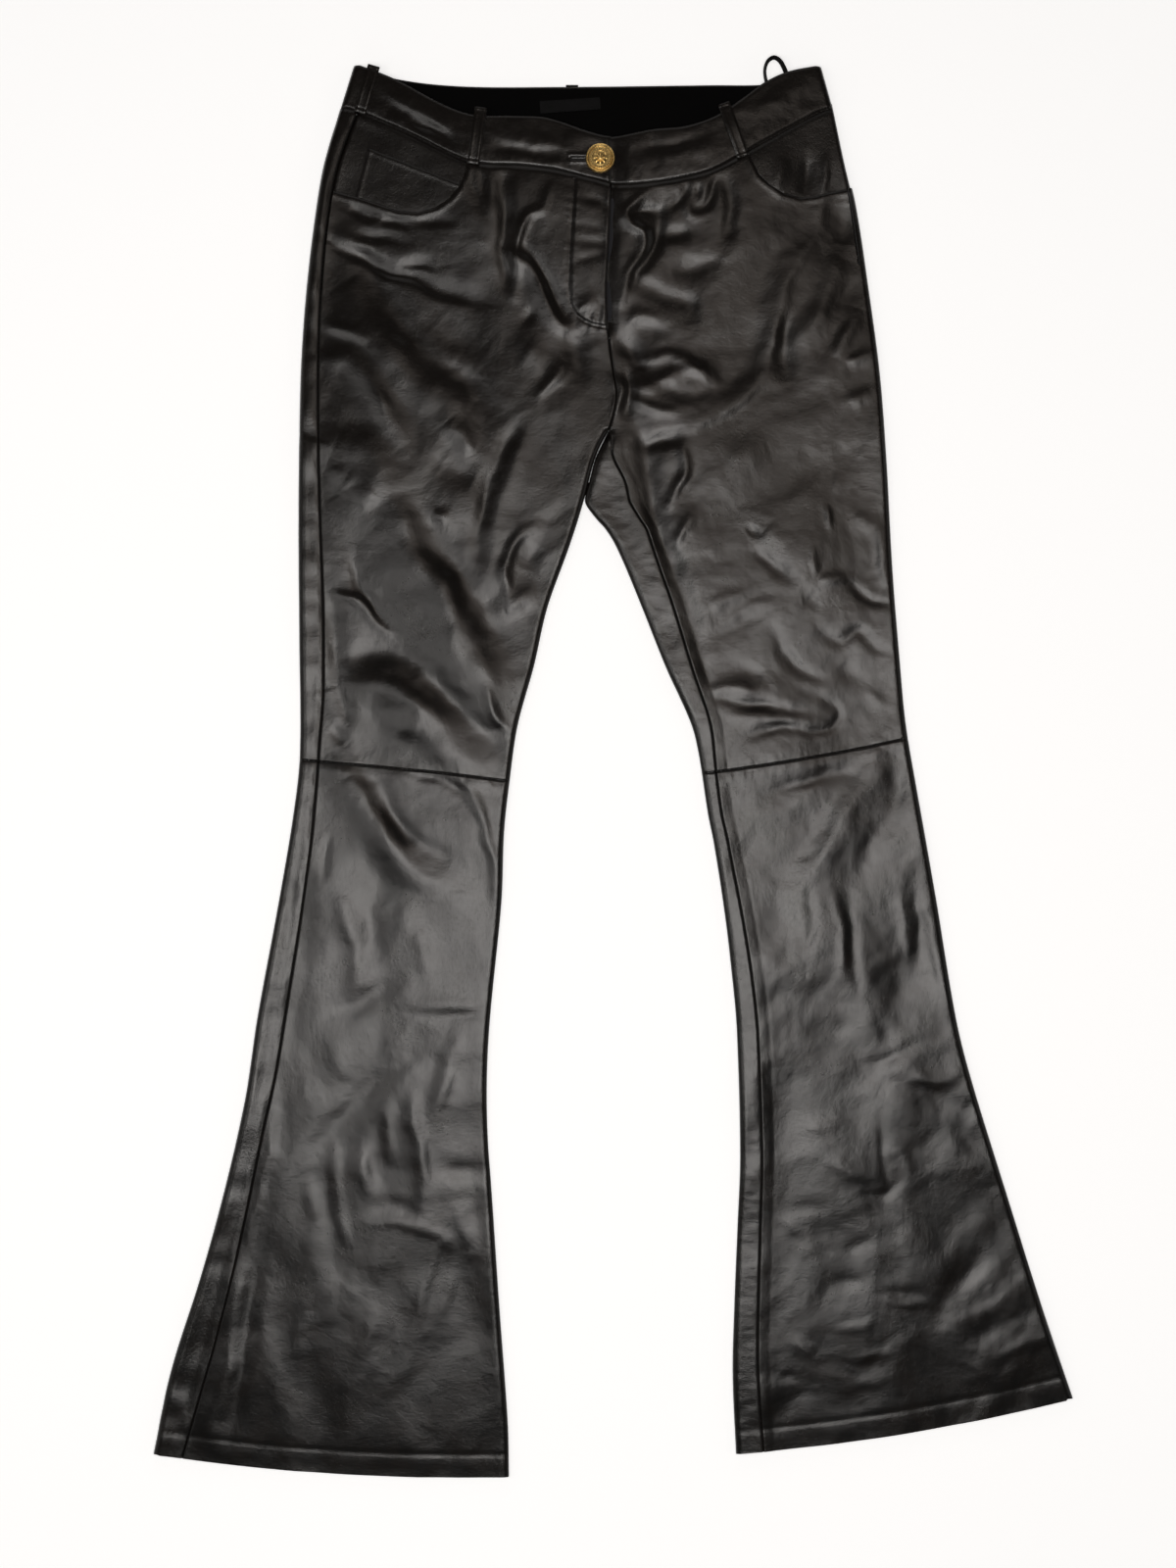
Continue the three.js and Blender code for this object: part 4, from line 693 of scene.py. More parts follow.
class Band:
    """The waistband as a flattened tube. w runs from its lower edge, 0, to its upper edge, 1,
    and m is the distance in from its right side on the top face."""

    def width(self, w):
        low, high = np.diff(BAND_LOW_SIDES)[0], np.diff(BAND_HIGH_SIDES)[0]
        return lerp(low, high, w)

    def place(self, lower, upper, w, reach):
        share = reach / self.width(w)
        low, high = lerp(*BAND_LOW_SIDES, share), lerp(*BAND_HIGH_SIDES, share)
        return lerp(low, high, w), lerp(lower(low), upper(high), w)

    def top_height(self, x, y, w):
        room = bpy.context.scene.trousers_sizes.fold_strength
        folds = creases_height(BAND_CREASES, x, y)
        lumps = 0.32 * gradient_noise(x, y, 18, 31) + 0.1 * gradient_noise(x, y, 7, 32)
        edge = np.minimum(w, 1 - w) * BAND_HEIGHT
        rounding = -0.9 * bell(edge, 0.8) - 0.25 * bell(edge, 4)
        pucker = 0.13 * gradient_noise(x, 0.35 * y, 3.4, 33) * bell(BAND_HEIGHT * w - 5.5, 3.5)
        return band_height(x) + room * folds + (lumps + pucker) * smoothstep(edge, 0, 6) + rounding

    def point(self, m, w, depth=0.0):
        width = self.width(w)
        inner_end = width - ROLL
        left_roll = (m > inner_end) & (m <= inner_end + ROLL_ARC)
        right_roll = (m < ROLL) & (m > ROLL - ROLL_ARC)
        under = (m <= ROLL - ROLL_ARC) | (m > inner_end + ROLL_ARC)
        turn = np.select(
            [left_roll, right_roll], [(m - inner_end) / ROLL_ARC, (ROLL - m) / ROLL_ARC], 0.0
        ) * np.pi
        reach = np.clip(m, ROLL, inner_end)
        reach = np.where(m <= ROLL - ROLL_ARC, 2 * ROLL - ROLL_ARC - m, reach)
        reach = np.where(m > inner_end + ROLL_ARC, inner_end - (m - inner_end - ROLL_ARC), reach)
        top_x, top_y = self.place(band_bottom, band_top, w, reach)
        low_x, low_y = self.place(back_band_bottom, back_band_top, w, reach)
        top_z = self.top_height(top_x, top_y, w)
        low_z = BAND_LIFT + 0.15
        share = np.where(under, 1.0, (1 - np.cos(turn)) / 2)
        rolling = left_roll | right_roll
        middle, half = (top_z + low_z) / 2, (top_z - low_z) / 2
        z = np.where(under, low_z + depth, top_z - depth)
        z = np.where(rolling, middle + (half - depth) * np.cos(turn), z)
        bulge = (ROLL - depth) * np.sin(turn) * np.where(right_roll, -1, 1)
        return np.stack([lerp(top_x, low_x, share) + bulge, lerp(top_y, low_y, share), z], -1)


band = Band()


# Materials
class Number:
    """A number socket that Python arithmetic works on, by adding Math nodes."""

    def __init__(self, shader, socket):
        self.shader, self.socket = shader, socket

    def math(self, operation, *values):
        return self.shader.node("ShaderNodeMath", {"operation": operation}, *values)

    def __add__(self, other):
        return self.math("ADD", self, other)

    def __sub__(self, other):
        return self.math("SUBTRACT", self, other)

    def __rsub__(self, other):
        return self.math("SUBTRACT", other, self)

    def __mul__(self, other):
        return self.math("MULTIPLY", self, other)

    __radd__, __rmul__ = __add__, __mul__

    def between(self, low, high, start=0.0, end=1.0):
        """This number eased from start to end as it goes from low to high."""
        settings = {"interpolation_type": "SMOOTHSTEP"}
        return self.shader.node("ShaderNodeMapRange", settings, self, low, high, start, end)


class Shader:
    """One material and the nodes that it is made of."""

    def __init__(self, name):
        self.material = bpy.data.materials.new(name)
        self.material.use_nodes = True
        self.tree = self.material.node_tree
        self.tree.nodes.clear()

    def node(self, kind, settings=None, *values, output=0, **named):
        """Adds a node: settings first, then its sockets in order or by name."""
        node = self.tree.nodes.new(kind)
        for key, value in (settings or {}).items():
            setattr(node, key, value)
        for key, value in [*enumerate(values), *named.items()]:
            socket = node.inputs[key if isinstance(key, int) else key.replace("_", " ")]
            if isinstance(value, Number):
                self.tree.links.new(value.socket, socket)
            elif value is not None:
                socket.default_value = value
        return Number(self, node.outputs[output])

    def place(self, stretch=(1, 1, 1), turn=0.0):
        """A point of the object, in metres, stretched and turned about the vertical."""
        point = self.node("ShaderNodeTexCoord", output="Object")
        return self.node("ShaderNodeMapping", None, point, (0, 0, 0), (0, 0, turn), stretch)

    def noise(self, where, scale, detail):
        return self.node(
            "ShaderNodeTexNoise", None, Vector=where, Scale=scale, Detail=detail, Roughness=0.55
        )

    def cells(self, where, scale, feature="F1"):
        return self.node("ShaderNodeTexVoronoi", {"feature": feature}, Vector=where, Scale=scale)

    def mix_colour(self, share, first, second):
        mixed = self.node("ShaderNodeMix", {"data_type": "RGBA"}, output=2)
        inputs = mixed.socket.node.inputs
        for index, value in ((0, share), (6, first), (7, second)):
            if isinstance(value, Number):
                self.tree.links.new(value.socket, inputs[index])
            else:
                inputs[index].default_value = value
        return mixed

    def bump(self, height, distance):
        return self.node("ShaderNodeBump", None, Strength=1.0, Distance=distance, Height=height)

    def finish(self, **sockets):
        surface = self.node("ShaderNodeBsdfPrincipled", None, **sockets)
        end = self.tree.nodes.new("ShaderNodeOutputMaterial")
        self.tree.links.new(surface.socket, end.inputs["Surface"])
        return self.material


def rgba(colour, scale=1.0):
    return (*(channel * scale for channel in colour[:3]), 1.0)


def leather_material(name, scale=1.0, roughness=0.245, grain=1.0):
    """Smooth black nappa: pebble grain, fine creases and a satin finish that varies, over a painted tint
    that runs from warm at the hips to cooler grey down the legs, standing in for the colour of the light it
    reflects.
    """
    sizes = bpy.context.scene.trousers_sizes
    colour = bpy.context.scene.trousers_colours.leather
    painted_cool_tint = bpy.context.scene.trousers_colours.leather_cool
    shader = Shader(name)
    where = shader.place()
    cell = 1 / (sizes.grain * MM)
    wander = shader.noise(where, 400, 2)
    pebble = shader.cells(where, cell)
    fine = shader.noise(where, 2.4 * cell, 2)
    crease_place = shader.place((1, 0.55, 1), 0.6)
    crease = shader.cells(crease_place, 150, "DISTANCE_TO_EDGE").between(0.0, 0.09)
    patch = shader.noise(where, 16, 3)
    cloud = shader.noise(where, 55, 4)
    coarse = shader.noise(where, 210, 3)
    height = (1 - pebble) * 0.55 + fine * 0.35 + wander * 0.9 + coarse * 0.5 + crease * 0.2 * patch
    up = shader.node("ShaderNodeSeparateXYZ", None, where, output=1)
    # Painted reflection tint: the base colour runs from warm at the hips to a cooler grey down the legs,
    # standing in for the cooler light that the lower legs reflect.
    hip = up.between(-0.15, 0.30)
    tone = shader.mix_colour(hip, rgba(painted_cool_tint, scale), rgba(colour, scale))
    dull = shader.mix_colour(cloud.between(0.35, 0.7), tone, rgba(colour, 1.35 * scale))
    rough = roughness + (cloud - 0.5) * 0.05 + (patch - 0.5) * 0.08 + (wander - 0.5) * 0.1
    normal = shader.bump(height, 0.00009 * grain)
    return shader.finish(
        Base_Color=dull,
        Roughness=rough,
        Normal=normal,
        Specular_IOR_Level=0.5,
    )


def thread_material(name):
    shader = Shader(name)
    where = shader.place()
    twist = shader.node("ShaderNodeTexWave", {"bands_direction": "DIAGONAL"}, Vector=where, Scale=1500)
    colour = bpy.context.scene.trousers_colours.thread
    tone = shader.mix_colour(twist, rgba(colour, 0.7), rgba(colour, 1.4))
    normal = shader.bump(twist, 0.00006)
    return shader.finish(Base_Color=tone, Roughness=0.6, Normal=normal, Specular_IOR_Level=0.25)


def woven_material(name, scale=1.0, pitch=0.0007):
    """Matte black cloth with a fine twill."""
    shader = Shader(name)
    where = shader.place(turn=0.78)
    settings = {"wave_type": "BANDS", "bands_direction": "X"}
    rib = shader.node("ShaderNodeTexWave", settings, Vector=where, Scale=0.314 / pitch, Distortion=0.6)
    fuzz = shader.noise(shader.place(), 2600, 3)
    cloud = shader.noise(shader.place(), 40, 3)
    colour = bpy.context.scene.trousers_colours.woven
    share = rib * 0.6 + fuzz * 0.4
    tone = shader.mix_colour(share, rgba(colour, 0.6 * scale), rgba(colour, 1.7 * scale))
    normal = shader.bump(rib * 0.7 + fuzz * 0.5, 0.00018)
    rough = 0.9 + (cloud - 0.5) * 0.15
    return shader.finish(Base_Color=tone, Roughness=rough, Normal=normal, Specular_IOR_Level=0.08)


def satin_material(name):
    """Black satin with fine cross ribs."""
    shader = Shader(name)
    where = shader.place()
    rib = shader.node("ShaderNodeTexWave", {"bands_direction": "X"}, Vector=where, Scale=700)
    cross = shader.node("ShaderNodeTexWave", {"bands_direction": "Y"}, Vector=where, Scale=950)
    colour = bpy.context.scene.trousers_colours.satin
    tone = shader.mix_colour(rib * cross, rgba(colour, 0.8), rgba(colour, 1.5))
    normal = shader.bump(rib * 0.5 + cross * 0.5, 0.00008)
    rough = 0.42 + (cross - 0.5) * 0.1
    return shader.finish(Base_Color=tone, Roughness=rough, Normal=normal, Specular_IOR_Level=0.12)


def gold_material(name):
    """Gold-coloured metal, duller and darker in its hollows, where shade is painted into its colour."""
    shader = Shader(name)
    where = shader.place()
    scratch = shader.noise(shader.place((1, 6, 1), 0.4), 900, 3)
    cloud = shader.noise(where, 220, 3)
    colour = bpy.context.scene.trousers_colours.gold
    up = shader.node("ShaderNodeSeparateXYZ", None, where, output=2)
    face = float(band_height(BUTTON_X)) + SEAM_GAP + BUTTON_FACE
    # Painted shade: below the raised relief the colour drops to 0.3 of itself, standing in for the shade in
    # the button's hollows.
    out_of_painted_shade = up.between((face + 0.05) * MM, (face + 0.45) * MM)
    bright = shader.mix_colour(cloud.between(0.3, 0.75), rgba(colour), rgba(colour, 0.85))
    tone = shader.mix_colour(out_of_painted_shade, rgba(colour, 0.3), bright)
    rough = 0.22 + (scratch - 0.5) * 0.12 + cloud * 0.1
    normal = shader.bump(scratch, 0.00002)
    return shader.finish(Base_Color=tone, Metallic=1.0, Roughness=rough, Normal=normal)


def floor_material(name):
    shader = Shader(name)
    grain = shader.noise(shader.place(), 300, 3)
    colour = bpy.context.scene.trousers_colours.floor
    tone = shader.mix_colour(grain, rgba(colour, 0.99), rgba(colour))
    normal = shader.bump(grain, 0.00002)
    return shader.finish(
        Base_Color=tone, Roughness=0.8, Normal=normal, Emission_Color=tone, Emission_Strength=0.6
    )


def finish_of(name, make, *args, **options):
    """A material by name, made the first time that it is asked for."""
    return bpy.data.materials.get(name) or make(name, *args, **options)


def leather():
    return finish_of("black_nappa", leather_material)


def pocket_leather():
    return finish_of("pocket_nappa", leather_material, 0.9, 0.29, 1.5)


def thread():
    return finish_of("black_thread", thread_material)


# Meshes
def mesh_object(name, points, faces, material, sharp=()):
    """A mesh from points in millimetres, riding on the body, with its finish and slot."""
    mesh = bpy.data.meshes.new(name)
    mesh.from_pydata((np.asarray(points, float).reshape(-1, 3) * MM).tolist(), [], faces)
    mesh.polygons.foreach_set("use_smooth", [True] * len(mesh.polygons))
    if len(sharp):
        marked = {tuple(sorted(edge)) for edge in sharp}
        flags = [tuple(sorted(edge.vertices)) in marked for edge in mesh.edges]
        mesh.edges.foreach_set("use_edge_sharp", flags)
    mesh.validate()
    mesh.update()
    piece = bpy.data.objects.new(name, mesh)
    bpy.context.scene.collection.objects.link(piece)
    mesh.materials.append(material)
    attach(piece, BODY)
    return piece


def grid_faces(rows, columns, start=0, flip=False):
    """Quads over a grid of points, row after row."""
    r, c = np.meshgrid(np.arange(rows - 1), np.arange(columns - 1), indexing="ij")
    a = (start + r * columns + c).ravel()
    quads = np.stack([a, a + 1, a + columns + 1, a + columns], -1)
    return (quads[:, ::-1] if flip else quads).tolist()


def shell(name, surface, m, y, thickness, material, flip=False):
    """A thin shell over a grid of ring coordinates, with its cut edges closed by a rim."""
    rows, columns = m.shape
    outer = surface(m, y, 0.0).reshape(-1, 3)
    index = np.arange(rows * columns).reshape(rows, columns)
    edge = np.concatenate([index[0, :-1], index[:-1, -1], index[-1, :0:-1], index[:0:-1, 0]])
    rim = []
    for share in (0.5, 1.0):
        rim.append(surface(m.ravel()[edge], y.ravel()[edge], thickness * share))
    faces = grid_faces(rows, columns, flip=flip)
    count, around = rows * columns, len(edge)
    loops = [edge, count + np.arange(around), count + around + np.arange(around)]
    for above, below in zip(loops, loops[1:]):
        for i in range(around):
            j = (i + 1) % around
            quad = [int(above[j]), int(above[i]), int(below[i]), int(below[j])]
            faces.append(quad[::-1] if flip else quad)
    sharp = [(int(edge[i]), int(edge[(i + 1) % around])) for i in range(around)]
    points = np.concatenate([outer, *rim])
    return mesh_object(name, points, faces, material, sharp)


def resample(points, count):
    """Evenly spaced points along a line of points."""
    points = np.asarray(points, float)
    steps = np.concatenate([[0], np.cumsum(np.linalg.norm(np.diff(points, axis=0), axis=1))])
    at = np.linspace(0, steps[-1], count)
    return np.stack([np.interp(at, steps, points[:, i]) for i in range(points.shape[1])], -1)


def panel_grid(top, bottom, start, end, downs, shares):
    """Ring coordinates of a panel between two cross lines and its two seams.

    top and bottom give the distance up the leg for a share of the way across, and top may also
    bunch its columns; start and end give the seams' ring coordinates for a distance up the leg."""
    top_share, top_y = top(shares)
    bottom_y = bottom(shares)
    down = downs[:, None]
    y = lerp(top_y[None, :], bottom_y[None, :], down)
    settle = smoothstep(down, 0, 0.45)
    share = lerp(top_share[None, :], shares[None, :], settle)
    return lerp(start(y), end(y), share), y


def seam_shares(length, step):
    """Shares of a length, close together near the seams at both ends and even between."""
    close = np.array((0, 0.35, 0.75, 1.2, 1.8, 2.5, 3.4, 4.5))
    inner = np.linspace(close[-1], length - close[-1], int((length - 2 * close[-1]) / step) + 2)[1:-1]
    return np.concatenate([close, inner, length - close[::-1]]) / length


def cross_line(leg, at, start, end, offset):
    """A knee or hem line: the distance up the leg for each share of the way across."""

    def line(shares):
        y = np.full(len(shares), (at.outer + at.inner) / 2.0)
        for _ in range(4):
            m = lerp(start(y), end(y), shares)
            y = leg.line(at, leg.share(m, y)) + offset
        return y

    return line


def top_from_outline(outline, start, end):
    """A panel's top edge from a line of (ring coordinate, distance up) points."""

    def line(shares):
        points = resample(outline, 900)
        steps = np.linspace(0, 1, 900)
        m = np.interp(shares, steps, points[:, 0])
        y = np.interp(shares, steps, points[:, 1])
        low, high = start(y), end(y)
        return np.clip((m - low) / (high - low), 0, 1), y

    return line


def on_top(leg, points):
    """Ring coordinates of plan points that lie on a leg's top face."""
    return [(float(leg.across(x, y)), y) for x, y in points]


def along_band(leg, low, high, count=60):
    """A panel's edge just below the front waistband, between two places across."""
    x = np.linspace(low, high, count)
    return on_top(leg, list(zip(x, band_bottom(x) - BAND_GAP)))


# Seams of each panel as ring coordinates
def roll_share(y):
    """How far a seam lies past the edge, to be half way round the roll that starts at the crotch."""
    return np.where(y <= CROTCH_Y, ROLL_ARC / 2 - ROLL, 0.0)


def right_front_start(y):
    return right_leg.outseam(y) + HALF_GAP


def right_front_end(y):
    width = right_leg.width(y)
    rolled = width + ROLL_ARC - 2 * ROLL + UNDER_INSEAM
    return lerp(width + roll_share(y), rolled, right_leg.turned(y)) - HALF_GAP


def right_back_start(y):
    return right_leg.outseam(y) - HALF_GAP


def right_back_end(y):
    middle = right_leg.under_width(y) + roll_share(y)
    seam = lerp(middle, right_leg.width(y) - UNDER_INSEAM, right_leg.turned(y))
    return 2 * ROLL - ROLL_ARC - seam + HALF_GAP


def left_front_start(y):
    return np.full_like(y, 2 * ROLL - ROLL_ARC - UNDER_OUTSEAM + HALF_GAP)


def left_front_end(y):
    inset = np.where(y > CROTCH_Y, 0, left_leg.inseam(np.minimum(y, CROTCH_Y)))
    return left_leg.width(y) - inset + roll_share(y) * (1 - left_leg.turned(y)) - HALF_GAP


def left_back_start(y):
    return np.full_like(y, 2 * ROLL - ROLL_ARC - UNDER_OUTSEAM - HALF_GAP)


def left_back_end(y):
    centre = 2 * ROLL - ROLL_ARC - left_leg.under_width(y) - roll_share(y)
    inset = left_leg.inseam(np.minimum(y, CROTCH_Y))
    strip = 4 * ROLL - 2 * ROLL_ARC - left_leg.width(y) - inset
    return lerp(centre, strip, left_leg.turned(y)) + HALF_GAP


def fly_relief(x, y):
    """The doubled fly inside its J-shaped stitching, puckered along the stitches."""
    line = np.array(FLY_STITCH)
    distance = np.full(x.shape, 1e9)
    along = np.zeros(x.shape)
    travelled = 0.0
    for (ax, ay), (bx, by) in zip(line, line[1:]):
        dx, dy = bx - ax, by - ay
        length = math.hypot(dx, dy)
        share = np.clip(((x - ax) * dx + (y - ay) * dy) / length**2, 0, 1)
        off = np.hypot(x - ax - share * dx, y - ay - share * dy)
        nearer = off < distance
        along = np.where(nearer, travelled + share * length, along)
        distance = np.where(nearer, off, distance)
        travelled += length
    edge_x = np.interp(y, line[::-1, 1], line[::-1, 0])
    inside = (x > edge_x) & (y > 341) & (x < centre_front(y) + 0.01)
    signed = np.where(inside, distance, -distance)
    stand = 0.75 * smoothstep(signed, -0.2, 1.6)
    pucker = 0.16 * gradient_noise(along, 0.3 * distance, 3.6, 81) * bell(distance - 2.5, 3.2)
    gather = smoothstep(along, 70, 150) * bell(distance - 5, 8) * 0.26
    folds = gather * np.sin(along * 0.62 + x * 0.25)
    return stand + pucker + folds - 0.75 * bell(distance, 0.8)


def right_front_surface(m, y, depth):
    points = right_leg.point(m, y, depth)
    x = points[..., 0]
    to_edge = centre_front(y) - x
    upper = smoothstep(y, *FLY_FOOT)
    fly = fly_relief(x, y) + 0.25 * bell(to_edge - 2, 2.2) - 1.2 * bell(to_edge, 0.9)
    relief = upper * fly + (y > CROTCH_Y) * (1 - upper) * seam_groove(to_edge)
    points[..., 2] += on_top_face(m) * (relief - mouth_rounding(RIGHT_SCOOP, x, y))
    return points


def left_front_surface(m, y, depth):
    points = left_leg.point(m, y, depth)
    x = points[..., 0]
    to_edge = x - centre_front(y)
    upper = smoothstep(y, *FLY_FOOT)
    relief = (y > CROTCH_Y) * (1 - upper) * seam_groove(to_edge) - upper * 2.4 * bell(to_edge, 5)
    points[..., 2] += on_top_face(m) * (relief - mouth_rounding(LEFT_SCOOP, x, y))
    return points


def on_top_face(m):
    """1 on the top face, fading to 0 half way round the rolled outer edge."""
    return smoothstep(m, ROLL - ROLL_ARC / 2, ROLL)


def mouth_rounding(scoop, x, y):
    """How far a front drops over the folded edge of its pocket mouth."""
    line = resample(scoop, 60)
    distance = np.full(x.shape, 1e9)
    near = (np.abs(x - line[:, 0].mean()) < 80) & (y > 380)
    if near.any():
        dx = x[near][:, None] - line[None, :, 0]
        dy = y[near][:, None] - line[None, :, 1]
        distance[near] = np.hypot(dx, dy).min(1)
    return 0.8 * bell(distance, 1.0) - 0.35 * bell(distance - 3.4, 2.2)


def panel(name, surface, m, y, flat, area, flip=False):
    piece = shell(name, surface, m, y, LEATHER, leather(), flip)
    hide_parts(name.removesuffix("_leather"))
    return piece


def columns_between(stops, counts):
    """Ring coordinates of a piece's columns, so many between each stop and the next."""
    parts = []
    for a, b, count in zip(stops, stops[1:], counts):
        parts.append(lerp(a, b, np.linspace(0, 1, count, endpoint=False)[None, :]))
    return np.concatenate([*parts, stops[-1]], axis=1)


# Sizes and colours that a user may change
def number_property(name, description, default, low, high, **unit):
    return FloatProperty(name=name, description=description, default=default, min=low, max=high, **unit)


def length_property(name, description, default, low, high):
    return number_property(name, description, default, low, high, subtype="DISTANCE", unit="LENGTH")


class TrousersSizes(PropertyGroup):
    fold_strength: number_property("Fold strength", "Height of the folds", 0.92, 0.0, 2.0)
    crumple: number_property("Crumple", "Height of the small lumps", 1.0, 0.0, 3.0)
    grain: number_property("Grain", "Size of the leather's pebbles, in millimetres", 0.95, 0.3, 3.0)
    stitch_length: number_property("Stitch length", "Length of a stitch, in millimetres", 2.7, 1.0, 6.0)
    camera_height: length_property("Camera height", "Height of the camera over the floor", 2.0327, 0.5, 6.0)
    floor_size: length_property("Floor size", "Width of the floor", 9.0, 2.0, 30.0)


def colour_property(name, description, default):
    return FloatVectorProperty(
        name=name, description=description, default=default, size=3, min=0.0, max=1.0, subtype="COLOR"
    )


class TrousersColours(PropertyGroup):
    leather: colour_property("Leather", "Colour of the upper leather", (0.0072, 0.0056, 0.0046))
    # Painted reflection tint: the lower colour stands in for the cooler light reflected by the lower legs,
    # not a different leather.
    leather_cool: colour_property("Leather below", "Colour of the lower leather", (0.0066, 0.0063, 0.0060))
    thread: colour_property("Thread", "Colour of the sewing thread", (0.008, 0.007, 0.0065))
    woven: colour_property("Facing", "Colour of the woven facing", (0.0022, 0.0021, 0.0021))
    satin: colour_property("Satin", "Colour of the ribbon and the label", (0.003, 0.003, 0.0033))
    gold: colour_property("Gold", "Colour of the button", (1.0, 0.68, 0.25))
    floor: colour_property("Floor", "Colour of the floor", (0.95, 0.95, 0.95))
    light: colour_property("Light", "Colour of the lamps", (1.0, 0.968, 0.935))
    warm_light: colour_property("Warm light", "Colour of the lamp over the hips", (1.0, 0.86, 0.75))


# Pieces, and the operators that make them
CAMERA_LENS = 60.0
CAMERA_SENSOR = 36.0
CAMERA_REACH = 50.0
CAMERA_X = -19.6
CAMERA_Y = -13.1


class TROUSERS_OT_camera(Operator):
    """Look straight down on the trousers"""

    bl_idname = "trousers.camera"
    bl_label = "Camera"

    def execute(self, context):
        data = bpy.data.cameras.new("camera")
        data.lens = CAMERA_LENS
        data.sensor_width = CAMERA_SENSOR
        data.clip_end = CAMERA_REACH
        camera = bpy.data.objects.new("camera", data)
        context.scene.collection.objects.link(camera)
        height = context.scene.trousers_sizes.camera_height
        camera.location = (CAMERA_X * MM, CAMERA_Y * MM, height)
        context.scene.camera = camera
        return {"FINISHED"}


# Lengths and widths that set how many rows and columns a panel has, and the steps between them
FRONT_THIGH_ROWS = (440, 1.45)
FRONT_SHIN_ROWS = (545, 1.6)
BACK_THIGH_ROWS = (470, 2.2)
BACK_SHIN_ROWS = (545, 2.2)
BACK_COLUMNS = (255, 2.2)
LEFT_SEAM_TOP = 448.6


class TROUSERS_OT_fronts(Operator):
    """Make the four front panels, from the waist seam to the knee and on to the hem"""

    bl_idname = "trousers.fronts"
    bl_label = "Fronts"

    def execute(self, context):
        leg, start, end = right_leg, right_front_start, right_front_end
        outline = on_top(leg, RIGHT_SCOOP) + along_band(leg, -113.2, -1.45)
        flat, area = (0.26, 0.50), 0.1
        self.thigh("right", leg, start, end, right_front_surface, outline, (240, 1.4), flat, area)
        flat, area = (0.26, 0.56), 0.113
        self.shin("right", leg, start, end, right_front_surface, flat, area)
        leg, start, end = left_leg, left_front_start, left_front_end
        corner_x, corner_y = LEFT_SCOOP[0]
        corner = float(leg.across(corner_x, corner_y))
        side = 2 * ROLL - ROLL_ARC - UNDER_OUTSEAM
        outline = [(side, LEFT_SEAM_TOP), (ROLL, LEFT_SEAM_TOP), (corner, corner_y)]
        outline += on_top(leg, LEFT_SCOOP[1:]) + along_band(leg, 104.2, -1.15)
        flat, area = (0.26, 0.50), 0.095
        self.thigh("left", leg, start, end, left_front_surface, outline, (225, 1.4), flat, area)
        flat, area = (0.27, 0.56), 0.106
        self.shin("left", leg, start, end, left_front_surface, flat, area)
        return {"FINISHED"}

    def thigh(self, side, leg, start, end, surface, outline, columns, flat, area):
        top = top_from_outline(outline, start, end)
        knee = cross_line(leg, leg.knee, start, end, HALF_GAP)
        m, y = panel_grid(top, knee, start, end, seam_shares(*FRONT_THIGH_ROWS), seam_shares(*columns))
        panel(f"front_thigh_{side}_leather", surface, m, y, flat, area, flip=leg.side < 0)

    def shin(self, side, leg, start, end, surface, flat, area):
        top, hem = shin_edges(leg, start, end)
        m, y = panel_grid(top, hem, start, end, seam_shares(*FRONT_SHIN_ROWS), seam_shares(225, 1.45))
        panel(f"front_shin_{side}_leather", surface, m, y, flat, area, flip=leg.side < 0)


def shin_edges(leg, start, end):
    """A shin's two cross lines, at the knee and at the hem."""
    knee = cross_line(leg, leg.knee, start, end, -HALF_GAP)
    return lambda shares: (shares, knee(shares)), cross_line(leg, leg.hem, start, end, 0.0)


def back_top(leg, start, end):
    """The top edge of a back thigh: under the front band near the side, and under the back band."""

    def line(shares):
        y = np.full(len(shares), 500.0)
        for _ in range(12):
            m = lerp(start(y), end(y), shares)
            reach = np.where(m >= ROLL, m, np.maximum(2 * ROLL - ROLL_ARC - m, ROLL))
            reach = np.where(m >= ROLL - ROLL_ARC, np.minimum(reach, m.clip(ROLL)), reach)
            x = leg.outer(y) + leg.side * reach
            y = np.where(m >= ROLL - ROLL_ARC / 2, band_bottom(x), back_band_bottom(x)) - BAND_GAP
        return shares, y

    return line


class TROUSERS_OT_backs(Operator):
    """Make the four back panels, which wrap round one edge of each leg onto the top"""

    bl_idname = "trousers.backs"
    bl_label = "Backs"

    def execute(self, context):
        right = "right", right_leg, right_back_start, right_back_end, 0.118
        left = "left", left_leg, left_back_start, left_back_end, 0.105
        columns = seam_shares(*BACK_COLUMNS)
        for side, leg, start, end, area in (right, left):
            flip = leg.side > 0
            top = back_top(leg, start, end)
            knee = cross_line(leg, leg.knee, start, end, HALF_GAP)
            m, y = panel_grid(top, knee, start, end, seam_shares(*BACK_THIGH_ROWS), columns)
            panel(f"back_thigh_{side}_leather", leg.point, m, y, (0.27, 0.52), area, flip)
            top, hem = shin_edges(leg, start, end)
            m, y = panel_grid(top, hem, start, end, seam_shares(*BACK_SHIN_ROWS), columns)
            panel(f"back_shin_{side}_leather", leg.point, m, y, (0.28, 0.56), 0.115, flip)
        return {"FINISHED"}


# How far a pocket facing reaches up under the band
UNDER_BAND = 3.0


